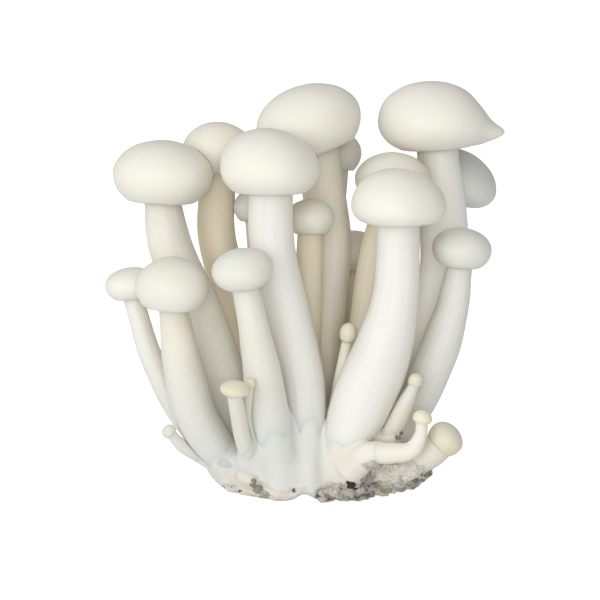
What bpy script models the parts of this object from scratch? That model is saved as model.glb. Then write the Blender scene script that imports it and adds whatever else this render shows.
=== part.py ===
"""A bunch of white shimeji mushrooms, grown together from one foot, standing as picked.

A standalone Blender 4.5 script: metres, +Z up. The origin is the middle of the flat
underside that the bunch stands on. +X is the bunch's right and +Y its back.
Every mushroom is one solid, with its stem, its gills and its cap, and it stands in a
socket of the shared white foot. A crust of the spent growing medium, torn off with the
bunch, clings round the foot's right side and back.
"""

import math
import random
from dataclasses import dataclass

import bmesh
import bpy
from mathutils import Quaternion, Vector, noise
from mathutils.bvhtree import BVHTree

MM = 0.001
GAP = 0.3
SEED = 7

# The white foot, in millimetres: half its width and depth, and the lobes of its outline
FOOT_RADII = (27.5, 18.5)
FOOT_LEVELS = (
    # height, share of the outline
    (0.0, 0.80), (1.8, 0.88), (4.6, 0.96), (8.0, 1.0), (10.8, 0.93), (12.8, 0.72), (13.8, 0.36),
)
FOOT_TOP = 14.2
FOOT_SIDES = 28
FOOT_LUMP = 1.1
FOOT_LUMP_SIZE = 7.0
FOOT_LUMP_RISE = 0.5
FOOT_LOBES = (
    # direction in degrees, half its width in degrees, outwards in millimetres
    (-166, 16, 1.2),
    (-121, 9, 2.2),
    (-106, 7, -1.0),
    (-78, 13, -2.6),
    (-33, 20, -6.5),
    (35, 16, 1.2),
    (70, 12, -1.0),
    (105, 16, 1.5),
    (150, 14, -1.2),
)
ROOT_FLOOR = 4.0

# The crust of growing medium: where it runs round the foot, and its cross-section
CRUST_SPAN = (-90, 118)
CRUST_STEPS = 20
CRUST_OUT = 3.6
CRUST_IN = 1.0
CRUST_UP = 3.0
CRUST_CHAMFER = 0.5
# Its height at both ends, as a share, and how fast it rises from there
CRUST_END = 0.35
CRUST_TAPER = 4.0
CRUST_WANDER = 0.3
CRUST_WAVES = 4.0

# The clods on the crust: the large lump at the front right, and the crumbs
LUMP_MIDDLE = (19.3, -8.0, 6.5)
LUMP_RADII = (9.0, 7.2, 5.3)
CLOD_ROUGHNESS = (0.86, 1.1)
CRUMB_COUNT = 26
CRUMB_SIZES = (1.3, 2.5)
CRUMB_SLIP = 0.35
CRUMB_REACH = (0.3, 0.8)
CRUMB_LEVEL = (0.3, 1.0)

# The form that all caps share, as shares of a cap's radius or of its height
GILL_SEAT = 0.10
GILL_DEPTH = 0.16
GILL_INNER = 1.02
GILL_OUTER = 0.93
GILL_SAG = (1.0, 0.7, 0.75)
GILL_FADE = 0.45
LIP_INNER = 0.97
LIP_RISE = 0.035
LIP_WIDTH = 0.04
FLANKS = (0.62, 0.3, 0.0)
DOME_STEPS = 4

# The neck enters the cap by this much, in millimetres
NECK_SINK = 0.2
RINGS_PER_SPAN = 2
PIN_SIDES = 8

MERGE = 1e-6
SHARP_ANGLE = 40
UP = Vector((0, 0, 1))

CAP, GILLS, STEM = range(3)


@dataclass
class Mushroom:
    """One mushroom, in millimetres.

    stem: places along the stem from root to neck, each (x, y, z, radius).
    cap: (radius, height) of the cap.
    lean: degrees that the cap's axis tips to the right and to the back.
    margin: radius of the inrolled edge, as a share of the cap's radius.
    equator: height of the cap's widest place, as a share of its height.
    gills: how many gills, or 0 on a closed button.
    bulges: outgrowths and flat places on the cap, each its direction in degrees, its height as a
        share, its length in millimetres, its half width in degrees and its half height as a share.
    crown: how far the cap's highest point is off its axis, to the right and to the back.
    """

    name: str
    stem: tuple
    cap: tuple
    lean: tuple = (0.0, 0.0)
    margin: float = 0.68
    equator: float = 0.45
    gills: int = 12
    bulges: tuple = ()
    crown: tuple = (0.0, 0.0)


# Front ones come first, because a mushroom further down the list gives way to those above it
MUSHROOMS = (
    Mushroom(
        "mushroom_front_right_thick",
        ((4.8, -11.5, 5.5, 3.9), (6.9, -12, 14.5, 5.8), (11.0, -13, 25.5, 7.3), (15.5, -14, 37.5, 6.7),
         (18.2, -15, 51.0, 5.3), (18.7, -15, 68.4, 4.9)),
        (10.8, 12.1), lean=(0, -2), margin=0.80, equator=0.28, gills=14, crown=(-0.8, 0),
    ),
    Mushroom(
        "mushroom_front_centre_short",
        ((-8.2, -13, 5.5, 3.9), (-11.4, -15.5, 18.8, 5.2), (-13.3, -17.5, 32.5, 4.4),
         (-15.2, -19, 43.3, 3.5), (-17.2, -19, 53.2, 3.15)),
        (7.2, 8.9), lean=(-8, -4), gills=12,
    ),
    Mushroom(
        "mushroom_front_left_leaning",
        ((-19.6, -7.5, 5.5, 4.2), (-28.0, -11, 17.7, 5.0), (-31.8, -13, 31.5, 4.7),
         (-34.3, -14, 48.4, 3.3)),
        (8.5, 11.0), lean=(2, -8), margin=0.82, equator=0.36, gills=12,
    ),
    Mushroom(
        "mushroom_front_centre_tall",
        ((-1.8, -11.5, 5.5, 3.4), (-2.6, -11.5, 14.0, 4.4), (-3.8, -9, 28.0, 5.3), (-7.0, -8, 42.0, 5.5),
         (-10.7, -8.5, 59.3, 5.3), (-11.3, -9, 74.7, 5.2)),
        (11.7, 14.8), margin=0.74, equator=0.34, gills=14, crown=(-1.2, 0),
    ),
    Mushroom(
        "mushroom_right_club",
        ((13.5, -3.5, 5.5, 3.6), (22.5, -4.5, 19.5, 4.3), (28.4, -5.5, 33.6, 4.8),
         (32.0, -6, 45.8, 3.9), (33.7, -6, 56.1, 3.0)),
        (7.2, 8.8), lean=(6, -3), gills=12,
    ),
    Mushroom(
        "mushroom_left_tall",
        ((-13.5, -1.5, 5.5, 4.1), (-18.0, -2, 14.6, 4.8), (-22.5, -2, 28.1, 5.2), (-27.6, 0, 43.5, 4.5),
         (-35.1, 2, 57.7, 5.3), (-37.4, 2, 71.0, 4.3)),
        (11.9, 14.4), lean=(3, 0), margin=0.70, equator=0.43, gills=14,
    ),
    Mushroom(
        "mushroom_far_left_slender",
        ((-22.0, -1.0, 5.5, 2.7), (-32.6, -3.5, 18.0, 2.9), (-39.8, -4.0, 32.5, 2.8),
         (-44.3, -3.0, 47.6, 2.4)),
        (6.3, 7.2), lean=(-8, 0), gills=10,
    ),
    Mushroom(
        "mushroom_inner_right",
        ((5.7, 2.0, 5.5, 3.8), (9.5, 3.5, 24.0, 4.4), (12.0, 4.5, 39.0, 4.4), (14.0, 5, 54.3, 4.3),
         (17.9, 5, 70.4, 4.1)),
        (8.9, 11.5), lean=(0, 2), gills=12,
    ),
    Mushroom(
        "mushroom_right_tall",
        ((11.2, 5.0, 5.5, 4.2), (18.5, 7.5, 19.0, 5.0), (25.0, 9.5, 33.0, 5.4), (30.0, 12, 48.8, 5.6),
         (30.8, 13, 62.2, 5.8), (28.9, 14, 82.7, 5.0)),
        (13.7, 15.9), lean=(-4, 0), margin=0.66, equator=0.38, gills=14,
        bulges=((0, 0.13, 4.4, 20, 0.15), (0, 0.62, -1.2, 40, 0.24)), crown=(-1.8, 0),
    ),
    Mushroom(
        "mushroom_centre_tall",
        ((0.8, 8.5, 5.5, 3.9), (1.1, 9.5, 20.0, 4.7), (1.3, 10, 34.0, 4.9), (2.2, 11, 46.4, 5.0),
         (2.7, 11, 60.0, 5.4), (-0.3, 11, 82.5, 5.0)),
        (12.9, 15.5), lean=(-19, -3), margin=0.74, gills=14, crown=(-1.0, 0),
    ),
    Mushroom(
        "mushroom_centre_hidden",
        ((-2.9, 2.5, 5.5, 2.6), (-2.3, 2.2, 45.5, 3.3), (-1.9, 1.2, 62.7, 3.0)),
        (5.8, 8.0), gills=10,
    ),
    Mushroom(
        "mushroom_left_tall_behind",
        ((-9.5, 5.5, 5.5, 3.9), (-12.0, 7.5, 20.0, 4.6), (-15.6, 8.5, 35.0, 4.9), (-21.2, 10, 47.9, 4.9),
         (-24.6, 11, 60.0, 4.6), (-24.2, 12, 76.2, 4.4)),
        (8.4, 12.4), lean=(-2, 3), gills=12,
    ),
    Mushroom(
        "mushroom_back_left_button",
        ((-7.5, 13.0, 5.5, 2.3), (-9.0, 14.5, 30.0, 2.2), (-14.0, 12.0, 50.0, 2.2),
         (-15.8, 9.0, 64.6, 1.9)),
        (4.4, 7.3), lean=(-6, 0), gills=10,
    ),
    Mushroom(
        "mushroom_back_centre",
        ((4.6, 14.0, 5.5, 3.0), (2.0, 17.5, 38.0, 3.0), (5.0, 22, 75.4, 2.7)),
        (5.7, 9.4), lean=(4, 6), gills=10,
    ),
    Mushroom(
        "mushroom_back_right_tipped",
        ((14.5, 11.0, 5.5, 3.4), (26.0, 17.5, 32.0, 3.7), (31.5, 22.5, 56.0, 3.6), (34.0, 24.9, 69.6, 3.4)),
        (9.3, 10.2), lean=(34, -14), gills=12,
    ),
    Mushroom(
        "mushroom_back_low_right",
        ((9.5, 12.0, 5.5, 3.4), (9.2, 18.5, 24.0, 3.9), (9.0, 24, 50.0, 3.4)),
        (7.0, 10.0), lean=(0, 6), gills=12,
    ),
    Mushroom(
        "mushroom_back_low_centre",
        ((-1.5, 14.0, 5.5, 3.0), (-2.0, 20, 22.0, 3.4), (-1.0, 24, 38.0, 2.9)),
        (6.4, 8.4), lean=(-3, 16), gills=12,
    ),
    Mushroom(
        "mushroom_back_low_left",
        ((-13.0, 11.0, 5.5, 3.0), (-20.0, 18, 22.0, 3.3), (-24.5, 22, 39.0, 2.8)),
        (6.2, 8.4), lean=(-10, 14), gills=12,
    ),
    Mushroom(
        "mushroom_back_left_small",
        ((-16.5, 5.5, 5.5, 2.4), (-24.0, 11, 16.0, 2.5), (-29.5, 14, 29.5, 2.1)),
        (4.8, 6.4), lean=(-14, 10), gills=10,
    ),
    Mushroom(
        "pin_front_left",
        ((-16.2, -13.0, 6.0, 3.2), (-16.4, -16.8, 12.0, 3.0), (-18.0, -20.2, 18.2, 2.1),
         (-19.4, -25.5, 28.2, 1.8)),
        (3.5, 3.4), lean=(5, -6), margin=0.62, gills=0,
    ),
    Mushroom(
        "pin_front_left_second",
        ((-13.2, -14.6, 6.0, 2.6), (-15.3, -17.4, 14.0, 1.8), (-16.5, -19.6, 21.5, 1.0),
         (-15.9, -22.0, 29.2, 0.9)),
        (1.3, 2.2), lean=(6, 0), margin=0.78, gills=0,
    ),
    Mushroom(
        "pin_far_left",
        ((-21.5, -6.5, 6.2, 1.8), (-26.0, -9.0, 8.8, 1.8), (-31.6, -12, 12.3, 1.6), (-34.8, -14, 16.2, 1.2)),
        (1.7, 2.4), lean=(-40, 0), margin=0.90, gills=0,
    ),
    Mushroom(
        "pin_centre",
        ((2.0, -4.5, 12.0, 1.5), (5.2, -8, 28.0, 1.5), (6.9, -8, 37.7, 1.3)),
        (2.0, 4.4), lean=(8, -8), margin=0.72, gills=0,
    ),
    Mushroom(
        "pin_right_slender",
        ((13.5, -10.5, 7.5, 2.6), (16.8, -12.5, 15.4, 2.7), (19.8, -14, 22.0, 2.3), (22.6, -15, 28.4, 1.25)),
        (1.7, 2.8), lean=(14, 0), margin=0.90, gills=0,
    ),
    Mushroom(
        "pin_front_right_bent",
        ((6.8, -14.5, 8.0, 3.1), (11.5, -18.5, 12.4, 2.8), (17.0, -20.5, 13.1, 2.5), (21.6, -21.5, 14.0, 2.1),
         (23.8, -22, 17.6, 1.55), (24.1, -22, 21.1, 1.4)),
        (2.3, 2.6), lean=(10, -5), margin=0.86, equator=0.30, gills=0,
    ),
    Mushroom(
        "pin_far_right_stout",
        ((15.5, -11.5, 6.5, 3.6), (20.5, -15, 9.0, 3.7), (26.0, -17, 12.0, 3.6), (28.8, -17.5, 14.6, 3.5)),
        (4.3, 5.6), lean=(40, -6), margin=0.88, gills=0,
    ),
    Mushroom(
        "pin_back_left",
        ((-18.8, 10.0, 5.5, 2.2), (-23.0, 14.5, 12.0, 2.0), (-26.5, 16, 19.0, 1.5)),
        (2.6, 3.4), lean=(-14, 12), margin=0.62, gills=0,
    ),
    Mushroom(
        "pin_back_centre",
        ((-7.3, 17.0, 5.5, 2.0), (-8.5, 21, 13.0, 1.8), (-9.0, 22.5, 21.0, 1.4)),
        (2.4, 3.2), lean=(0, 14), margin=0.62, gills=0,
    ),
    Mushroom(
        "pin_back_right",
        ((17.5, 2.5, 5.5, 2.2), (21.5, 3.5, 12.5, 2.0), (25.0, 3.5, 18.5, 1.6)),
        (2.8, 3.4), lean=(20, 8), margin=0.62, gills=0,
    ),
)


def catmull_rom(a, b, c, d, t):
    """The value at t from 0 to 1 between b and c, on a smooth curve that also heeds a and d."""
    return 0.5 * (
        2 * b + (c - a) * t + (2 * a - 5 * b + 4 * c - d) * t * t + (3 * b - a - 3 * c + d) * t * t * t
    )


def stem_curve(stations, per_span):
    """Centres and radii along the stem, evenly in each span between two stations."""
    centres = [Vector(s[:3]) for s in stations]
    radii = [s[3] for s in stations]
    centres = [2 * centres[0] - centres[1], *centres, 2 * centres[-1] - centres[-2]]
    radii = [radii[0], *radii, radii[-1]]
    path = []
    for i in range(len(stations) - 1):
        for step in range(per_span):
            t = step / per_span
            path.append((catmull_rom(*centres[i:i + 4], t), catmull_rom(*radii[i:i + 4], t)))
    path.append((centres[-2], radii[-2]))
    return path


def cap_axis(mushroom):
    """The unit vector from the neck to the top of the cap."""
    right, back = (math.radians(a) for a in mushroom.lean)
    return Vector((math.sin(right), math.sin(back), math.cos(right) * math.cos(back))).normalized()


def cap_profile(mushroom, neck_radius, room):
    """The cap's rings from the neck outwards and over the top.

    Each is (radius, height above the margin, gill depth, zone, whether gills double its points).
    The room that a mushroom takes has no gills, because nothing enters a cap's underside.
    """
    radius, height = mushroom.cap
    margin = mushroom.margin * radius
    widest = mushroom.equator * height
    rings = []
    if mushroom.gills and not room:
        depth = GILL_DEPTH * height
        outer = GILL_OUTER * margin
        levels = [GILL_SEAT * height * sag for sag in GILL_SAG]
        rings += [
            (neck_radius * GILL_INNER, levels[0], depth, GILLS, True),
            ((neck_radius + outer) / 2, levels[1], depth, GILLS, True),
            (outer, levels[2], depth * GILL_FADE, GILLS, True),
        ]
    if not room:
        rings.append((LIP_INNER * margin, LIP_RISE * height, 0, CAP, False))
    rings.append((margin + LIP_WIDTH * radius, 0, 0, CAP, False))
    low_angle = math.acos(mushroom.margin)
    for share in FLANKS:
        angle = low_angle * share
        drop = math.sin(angle) / math.sin(low_angle)
        rings.append((radius * math.cos(angle), widest * (1 - drop), 0, CAP, False))
    for step in range(1, DOME_STEPS):
        angle = math.pi / 2 * step / DOME_STEPS
        rise = widest + (height - widest) * math.sin(angle)
        rings.append((radius * math.cos(angle), rise, 0, CAP, False))
    return rings


def bulge_reach(mushroom, angle, height_share):
    """How far the bulges move the cap's surface out in this direction, in millimetres."""
    reach = 0.0
    for direction, at_height, length, width, rise in mushroom.bulges:
        turn = (math.degrees(angle) - direction + 180) % 360 - 180
        reach += length * math.exp(-((turn / width) ** 2) - ((height_share - at_height) / rise) ** 2)
    return reach


def ring_points(centre, frame, radius, sides, lift=None, push=None):
    """Points of one ring about centre; lift and push change height and radius by meridian."""
    points = []
    for k in range(sides):
        angle = 2 * math.pi * k / sides
        reach = radius + (push(angle) if push else 0.0)
        local = Vector((reach * math.cos(angle), reach * math.sin(angle), lift(k) if lift else 0.0))
        points.append((centre + frame @ local) * MM)
    return points


def bridge(bm, lower, upper, zone):
    """Faces between two rings, where one may have twice the points of the other."""
    if len(lower) == len(upper):
        for k in range(len(lower)):
            nxt = (k + 1) % len(lower)
            bm.faces.new((lower[k], lower[nxt], upper[nxt], upper[k])).material_index = zone
        return
    coarse, fine = (lower, upper) if len(lower) < len(upper) else (upper, lower)
    for k in range(len(coarse)):
        nxt = (k + 1) % len(coarse)
        near, far = coarse[k], coarse[nxt]
        left, middle, right = (fine[(2 * k + i) % len(fine)] for i in range(3))
        for corners in ((near, middle, left), (near, far, middle), (far, right, middle)):
            if coarse is upper:
                corners = corners[::-1]
            bm.faces.new(corners).material_index = zone


def inflate(bm):
    """Moves every face outwards by the gap that two pieces keep."""
    bmesh.ops.recalc_face_normals(bm, faces=bm.faces)
    bm.normal_update()
    moves = [vert.normal * (GAP * MM * vert.calc_shell_factor()) for vert in bm.verts]
    for vert, move in zip(bm.verts, moves):
        vert.co += move


def close_top(bm, ring, point, zone):
    """A fan of faces from a ring to one point."""
    apex = bm.verts.new(point)
    for k in range(len(ring)):
        bm.faces.new((ring[k], ring[(k + 1) % len(ring)], apex)).material_index = zone


def mushroom_mesh(mushroom, room=False):
    """One closed mesh of the whole mushroom, or of the room that it takes."""
    sides = mushroom.gills or PIN_SIDES
    path = stem_curve(mushroom.stem, RINGS_PER_SPAN)
    rings = []
    frame = Quaternion()
    for i, (centre, radius) in enumerate(path):
        ahead = path[min(i + 1, len(path) - 1)][0]
        behind = path[max(i - 1, 0)][0]
        frame = (frame @ UP).rotation_difference(ahead - behind) @ frame
        points = ring_points(centre, frame, radius, sides)
        for point in points:
            point.z = max(point.z, ROOT_FLOOR * MM)
        rings.append((points, STEM))
    axis = cap_axis(mushroom)
    frame = (frame @ UP).rotation_difference(axis) @ frame
    neck, neck_radius = path[-1]
    height = mushroom.cap[1]
    margin_centre = neck - axis * (GILL_SEAT * height - NECK_SINK)
    crown = Vector((*mushroom.crown, 0.0))
    for radius, rise, depth, zone, fine in cap_profile(mushroom, neck_radius, room):
        count = 2 * sides if fine else sides
        share = rise / height
        points = ring_points(
            margin_centre + axis * rise + crown * share ** 2, frame, radius, count,
            lift=lambda k, d=depth: d * (k % 2),
            push=(lambda a, s=share: bulge_reach(mushroom, a, s)) if zone == CAP else None,
        )
        rings.append((points, zone))
    bm = bmesh.new()
    made = [[bm.verts.new(p) for p in points] for points, _ in rings]
    bm.faces.new(made[0][::-1]).material_index = STEM
    for i in range(1, len(made)):
        bridge(bm, made[i - 1], made[i], rings[i][1])
    close_top(bm, made[-1], (margin_centre + axis * height + crown) * MM, CAP)
    if room:
        inflate(bm)
    return bm


def largest_body(bm):
    """Drops every loose scrap, so that only the largest body is left."""
    left = set(bm.faces)
    bodies = []
    while left:
        stack = [left.pop()]
        body = set(stack)
        while stack:
            for edge in stack.pop().edges:
                for face in edge.link_faces:
                    if face in left:
                        left.discard(face)
                        body.add(face)
                        stack.append(face)
        bodies.append(body)
    bodies.sort(key=lambda b: sum(f.calc_area() for f in b))
    scraps = [f for body in bodies[:-1] for f in body]
    bmesh.ops.delete(bm, geom=scraps, context="FACES")


def mesh_object(bm, name, collection):
    """A new object that holds bm's mesh."""
    mesh = bpy.data.meshes.new(name)
    bm.to_mesh(mesh)
    bm.free()
    obj = bpy.data.objects.new(name, mesh)
    collection.objects.link(obj)
    return obj


def touches(obj, collection):
    """Whether obj's surface crosses that of any object in the collection, all at the origin."""
    trees = []
    for other in (obj, *collection.objects):
        bm = bmesh.new()
        bm.from_mesh(other.data)
        trees.append(BVHTree.FromBMesh(bm))
        bm.free()
    return any(trees[0].overlap(tree) for tree in trees[1:])


def boolean(obj, collection, operation):
    """Applies one exact Boolean of a whole collection to obj's mesh."""
    modifier = obj.modifiers.new(operation.lower(), "BOOLEAN")
    modifier.operation = operation
    modifier.solver = "EXACT"
    modifier.operand_type = "COLLECTION"
    modifier.collection = collection
    graph = bpy.context.evaluated_depsgraph_get()
    made = bpy.data.meshes.new_from_object(obj.evaluated_get(graph), depsgraph=graph)
    obj.modifiers.remove(modifier)
    bm = bmesh.new()
    bm.from_mesh(made)
    bmesh.ops.dissolve_degenerate(bm, dist=MERGE, edges=bm.edges)
    largest_body(bm)
    bm.to_mesh(obj.data)
    bm.free()
    bpy.data.meshes.remove(made)


def lumpy(point, size, seed):
    """A smooth wandering value from about -1 to 1 at this point, in lumps of this size."""
    return noise.noise(point / size + Vector((seed, 0, 0)))


def foot_outline(angle):
    """Distance of the foot's widest outline from the middle in this direction."""
    across, deep = FOOT_RADII
    radius = across * deep / math.hypot(deep * math.cos(angle), across * math.sin(angle))
    for direction, width, push in FOOT_LOBES:
        turn = (math.degrees(angle) - direction + 180) % 360 - 180
        radius += push * math.exp(-((turn / width) ** 2))
    return radius


def foot_mesh(room=False):
    """The shared white foot, flat below and domed above, or the room that it takes."""
    bm = bmesh.new()
    rings = []
    for level, share in FOOT_LEVELS:
        ring = []
        for k in range(FOOT_SIDES):
            angle = 2 * math.pi * k / FOOT_SIDES
            away = Vector((math.cos(angle), math.sin(angle), 0))
            point = away * foot_outline(angle) * share + UP * level
            lump = FOOT_LUMP * lumpy(point, FOOT_LUMP_SIZE, SEED)
            point += away * lump
            if level:
                point.z += lump * FOOT_LUMP_RISE
            ring.append(bm.verts.new(point * MM))
        rings.append(ring)
    bm.faces.new(rings[0][::-1])
    for lower, upper in zip(rings, rings[1:]):
        bridge(bm, lower, upper, 0)
    close_top(bm, rings[-1], UP * FOOT_TOP * MM, 0)
    if room:
        inflate(bm)
    return bm


def crust_mesh():
    """The band of growing medium that clings round part of the foot, flat below."""
    bm = bmesh.new()
    start, end = (math.radians(a) for a in CRUST_SPAN)
    lowest_share = FOOT_LEVELS[0][1]
    sections = []
    for step in range(CRUST_STEPS + 1):
        angle = start + (end - start) * step / CRUST_STEPS
        away = Vector((math.cos(angle), math.sin(angle), 0))
        fade = min(1.0, CRUST_END + CRUST_TAPER * min(step, CRUST_STEPS - step) / CRUST_STEPS)
        wander = CRUST_WANDER * lumpy(away, 1 / CRUST_WAVES, SEED)
        inner = foot_outline(angle) * lowest_share - CRUST_IN
        outer = inner + CRUST_IN + CRUST_OUT * fade * (1 + wander)
        height = CRUST_UP * fade * (1 - wander)
        corners = (
            away * inner,
            away * outer,
            away * (outer - CRUST_CHAMFER) + UP * height,
            away * inner + UP * height,
        )
        sections.append([bm.verts.new(corner * MM) for corner in corners])
    bm.faces.new(sections[0])
    bm.faces.new(sections[-1][::-1])
    for one, other in zip(sections, sections[1:]):
        bridge(bm, one, other, 0)
    bmesh.ops.recalc_face_normals(bm, faces=bm.faces)
    return bm


def clod_mesh(centre, radii, draw, finer):
    """One rough clod, flattened where it would reach below the surface."""
    bm = bmesh.new()
    bmesh.ops.create_icosphere(bm, subdivisions=2 if finer else 1, radius=1.0)
    turn = Quaternion([draw.uniform(-1, 1) for _ in range(4)]).normalized()
    for vert in bm.verts:
        out = turn @ vert.co * draw.uniform(*CLOD_ROUGHNESS)
        vert.co = (Vector(centre) + Vector([c * r for c, r in zip(out, radii)])) * MM
        vert.co.z = max(vert.co.z, 0.0)
    return bm


def crumb_meshes(draw):
    """The clods that are fused to the crust: one large lump and the crumbs along it."""
    yield clod_mesh(LUMP_MIDDLE, LUMP_RADII, draw, True)
    start, end = (math.radians(a) for a in CRUST_SPAN)
    for index in range(CRUMB_COUNT):
        share = (index + 0.5 + draw.uniform(-CRUMB_SLIP, CRUMB_SLIP)) / CRUMB_COUNT
        angle = start + (end - start) * share
        size = draw.uniform(*CRUMB_SIZES)
        reach = foot_outline(angle) * FOOT_LEVELS[0][1] + CRUST_OUT * draw.uniform(*CRUMB_REACH)
        height = CRUST_UP * draw.uniform(*CRUMB_LEVEL)
        centre = (reach * math.cos(angle), reach * math.sin(angle), height)
        yield clod_mesh(centre, (size, size, size), draw, False)


def material(name, colour, roughness):
    """A plain Principled material."""
    made = bpy.data.materials.new(name)
    made.use_nodes = True
    shader = made.node_tree.nodes["Principled BSDF"]
    shader.inputs["Base Color"].default_value = (*colour, 1)
    shader.inputs["Roughness"].default_value = roughness
    shader.inputs["Metallic"].default_value = 0.0
    made.diffuse_color = (*colour, 1)
    return made


def clear_scene():
    """Removes what the startup file holds."""
    for obj in list(bpy.data.objects):
        bpy.data.objects.remove(obj, do_unlink=True)
    for mesh in list(bpy.data.meshes):
        bpy.data.meshes.remove(mesh)


def new_collection(name):
    """A collection linked to the scene."""
    made = bpy.data.collections.new(name)
    bpy.context.scene.collection.children.link(made)
    return made


def main():
    """Builds the bunch."""
    clear_scene()
    bunch = new_collection("white_shimeji_bunch")
    rooms = new_collection("cutters")
    crumbs = new_collection("crumbs")

    skin = material("cap_skin", (0.86, 0.83, 0.74), 0.5)
    gill_flesh = material("gill_flesh", (0.82, 0.76, 0.62), 0.7)
    stem_flesh = material("stem_flesh", (0.87, 0.83, 0.75), 0.6)
    mycelium = material("mycelium", (0.80, 0.77, 0.70), 0.9)
    medium = material("growing_medium", (0.33, 0.28, 0.21), 0.95)

    for mushroom in MUSHROOMS:
        obj = mesh_object(mushroom_mesh(mushroom), mushroom.name, bunch)
        for finish in (skin, gill_flesh, stem_flesh):
            obj.data.materials.append(finish)
        if touches(obj, rooms):
            boolean(obj, rooms, "DIFFERENCE")
        mesh_object(mushroom_mesh(mushroom, room=True), mushroom.name + "_room", rooms)

    foot = mesh_object(foot_mesh(), "foot", bunch)
    foot.data.materials.append(mycelium)
    boolean(foot, rooms, "DIFFERENCE")

    crust = mesh_object(crust_mesh(), "growing_medium", bunch)
    crust.data.materials.append(medium)
    for crumb in crumb_meshes(random.Random(SEED)):
        mesh_object(crumb, "crumb", crumbs)
    boolean(crust, crumbs, "UNION")
    mesh_object(foot_mesh(room=True), "foot_room", rooms)
    boolean(crust, rooms, "DIFFERENCE")

    for collection in (rooms, crumbs):
        for obj in list(collection.objects):
            bpy.data.objects.remove(obj, do_unlink=True)
        bpy.data.collections.remove(collection)
    for obj in bunch.objects:
        obj.data.shade_smooth()
        obj.data.set_sharp_from_angle(angle=math.radians(SHARP_ANGLE))


if __name__ == "__main__":
    main()
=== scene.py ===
"""Looks of a bunch of white shimeji mushrooms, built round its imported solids.

Every mushroom is one smooth skin, grown ring by ring from its root in the foot to the top of
its cap, with folded gills under the cap. Where two skins touch, the one behind gives way.
The foot is one felted body whose collars run up the stems, and crumbs of growing medium
cling to its right side and its back.

Lengths in the classes are millimetres and angles are degrees; meshes are in metres.
+X is the bunch's right, +Y its back and +Z up.
"""

import logging
import math
import random
from collections.abc import Callable, Iterator
from dataclasses import dataclass, field
from enum import Enum

import bmesh
import bpy
from mathutils import Matrix, Quaternion, Vector, noise
from mathutils.bvhtree import BVHTree
from mathutils.kdtree import KDTree


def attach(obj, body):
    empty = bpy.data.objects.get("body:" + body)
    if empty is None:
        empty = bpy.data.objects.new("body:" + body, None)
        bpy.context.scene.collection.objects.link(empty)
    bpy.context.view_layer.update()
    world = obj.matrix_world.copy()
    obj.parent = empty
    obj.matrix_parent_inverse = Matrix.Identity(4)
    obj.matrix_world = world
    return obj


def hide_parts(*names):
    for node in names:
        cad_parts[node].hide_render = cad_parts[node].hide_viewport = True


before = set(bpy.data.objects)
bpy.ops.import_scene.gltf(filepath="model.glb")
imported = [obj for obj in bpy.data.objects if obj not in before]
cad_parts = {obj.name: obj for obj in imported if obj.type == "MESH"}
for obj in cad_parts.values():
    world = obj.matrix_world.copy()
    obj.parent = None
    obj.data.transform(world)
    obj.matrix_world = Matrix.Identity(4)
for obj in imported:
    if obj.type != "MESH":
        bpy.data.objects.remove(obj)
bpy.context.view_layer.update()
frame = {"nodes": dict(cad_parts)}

log = logging.getLogger("shimeji")

MM = 0.001
BODY = "root"
SEED = 7
UP = Vector((0.0, 0.0, 1.0))

# How ashen the flesh is at most, and the heights, widths and depths over which it gets so
MOST_ASHEN = 0.75
ASHEN_HEIGHTS = (50.0, 10.0)
ASHEN_WIDTHS = (7.0, -3.0)
ASHEN_DEPTHS = (2.0, -6.0)

Station = tuple[float, float, float, float]
Colour = tuple[float, float, float]
Value = float | Vector
Source = bpy.types.NodeSocket | float | Colour
Placer = Callable[[float, int], tuple[Vector, Vector]]


class Zone(Enum):
    """The part of a mushroom that a face belongs to; its value is the material's place."""

    CAP = 0
    GILLS = 1
    STEM = 2


class Habit(Enum):
    """How far a mushroom has grown."""

    OPEN = "open cap with gills"
    PIN = "closed young cap"


def span(low: float, high: float, value: float) -> float:
    """How far value has come from low to high, from 0 to 1, with a soft start and end."""
    share = min(1.0, max(0.0, (value - low) / (high - low)))
    return share * share * (3.0 - 2.0 * share)


def through(first: float, middle: float, last: float, t: float) -> float:
    """The parabola through three values at t of 0, a half and 1."""
    return first * (1 - t) * (1 - 2 * t) + middle * 4 * t * (1 - t) + last * t * (2 * t - 1)


def catmull_rom(a: Value, b: Value, c: Value, d: Value, t: float) -> Value:
    """The value at t from 0 to 1 between b and c, on a smooth curve that also heeds a and d."""
    return 0.5 * (
        2 * b + (c - a) * t + (2 * a - 5 * b + 4 * c - d) * t * t + (3 * b - a - 3 * c + d) * t * t * t
    )


def round_way(angle: float) -> Vector:
    """The level direction at this angle in radians."""
    return Vector((math.cos(angle), math.sin(angle), 0.0))


def ashen(point: Vector) -> float:
    """How ashen the flesh is at a point in millimetres: most at the foot, and at its front left."""
    low = MOST_ASHEN * span(*ASHEN_HEIGHTS, point.z)
    return low * span(*ASHEN_WIDTHS, point.x) * span(*ASHEN_DEPTHS, point.y)


def wander(point: Vector, size: float, seed: float) -> float:
    """A smooth random value from about -1 to 1 at a point, in lumps of this size."""
    return noise.noise(point / size + Vector((seed, 0.0, 0.0)))


def blot(point: Vector, places: tuple, power: int) -> float:
    """How much of soft round blots there is at a point.

    Args:
        point: the point, in millimetres.
        places: the blots, each with its middle and its radius.
        power: how hard their edges are.

    Returns:
        The sum of the blots, each 1 in its middle.
    """
    return sum(math.exp(-(((point - Vector(middle)).length / radius) ** power)) for middle, radius in places)


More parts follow.
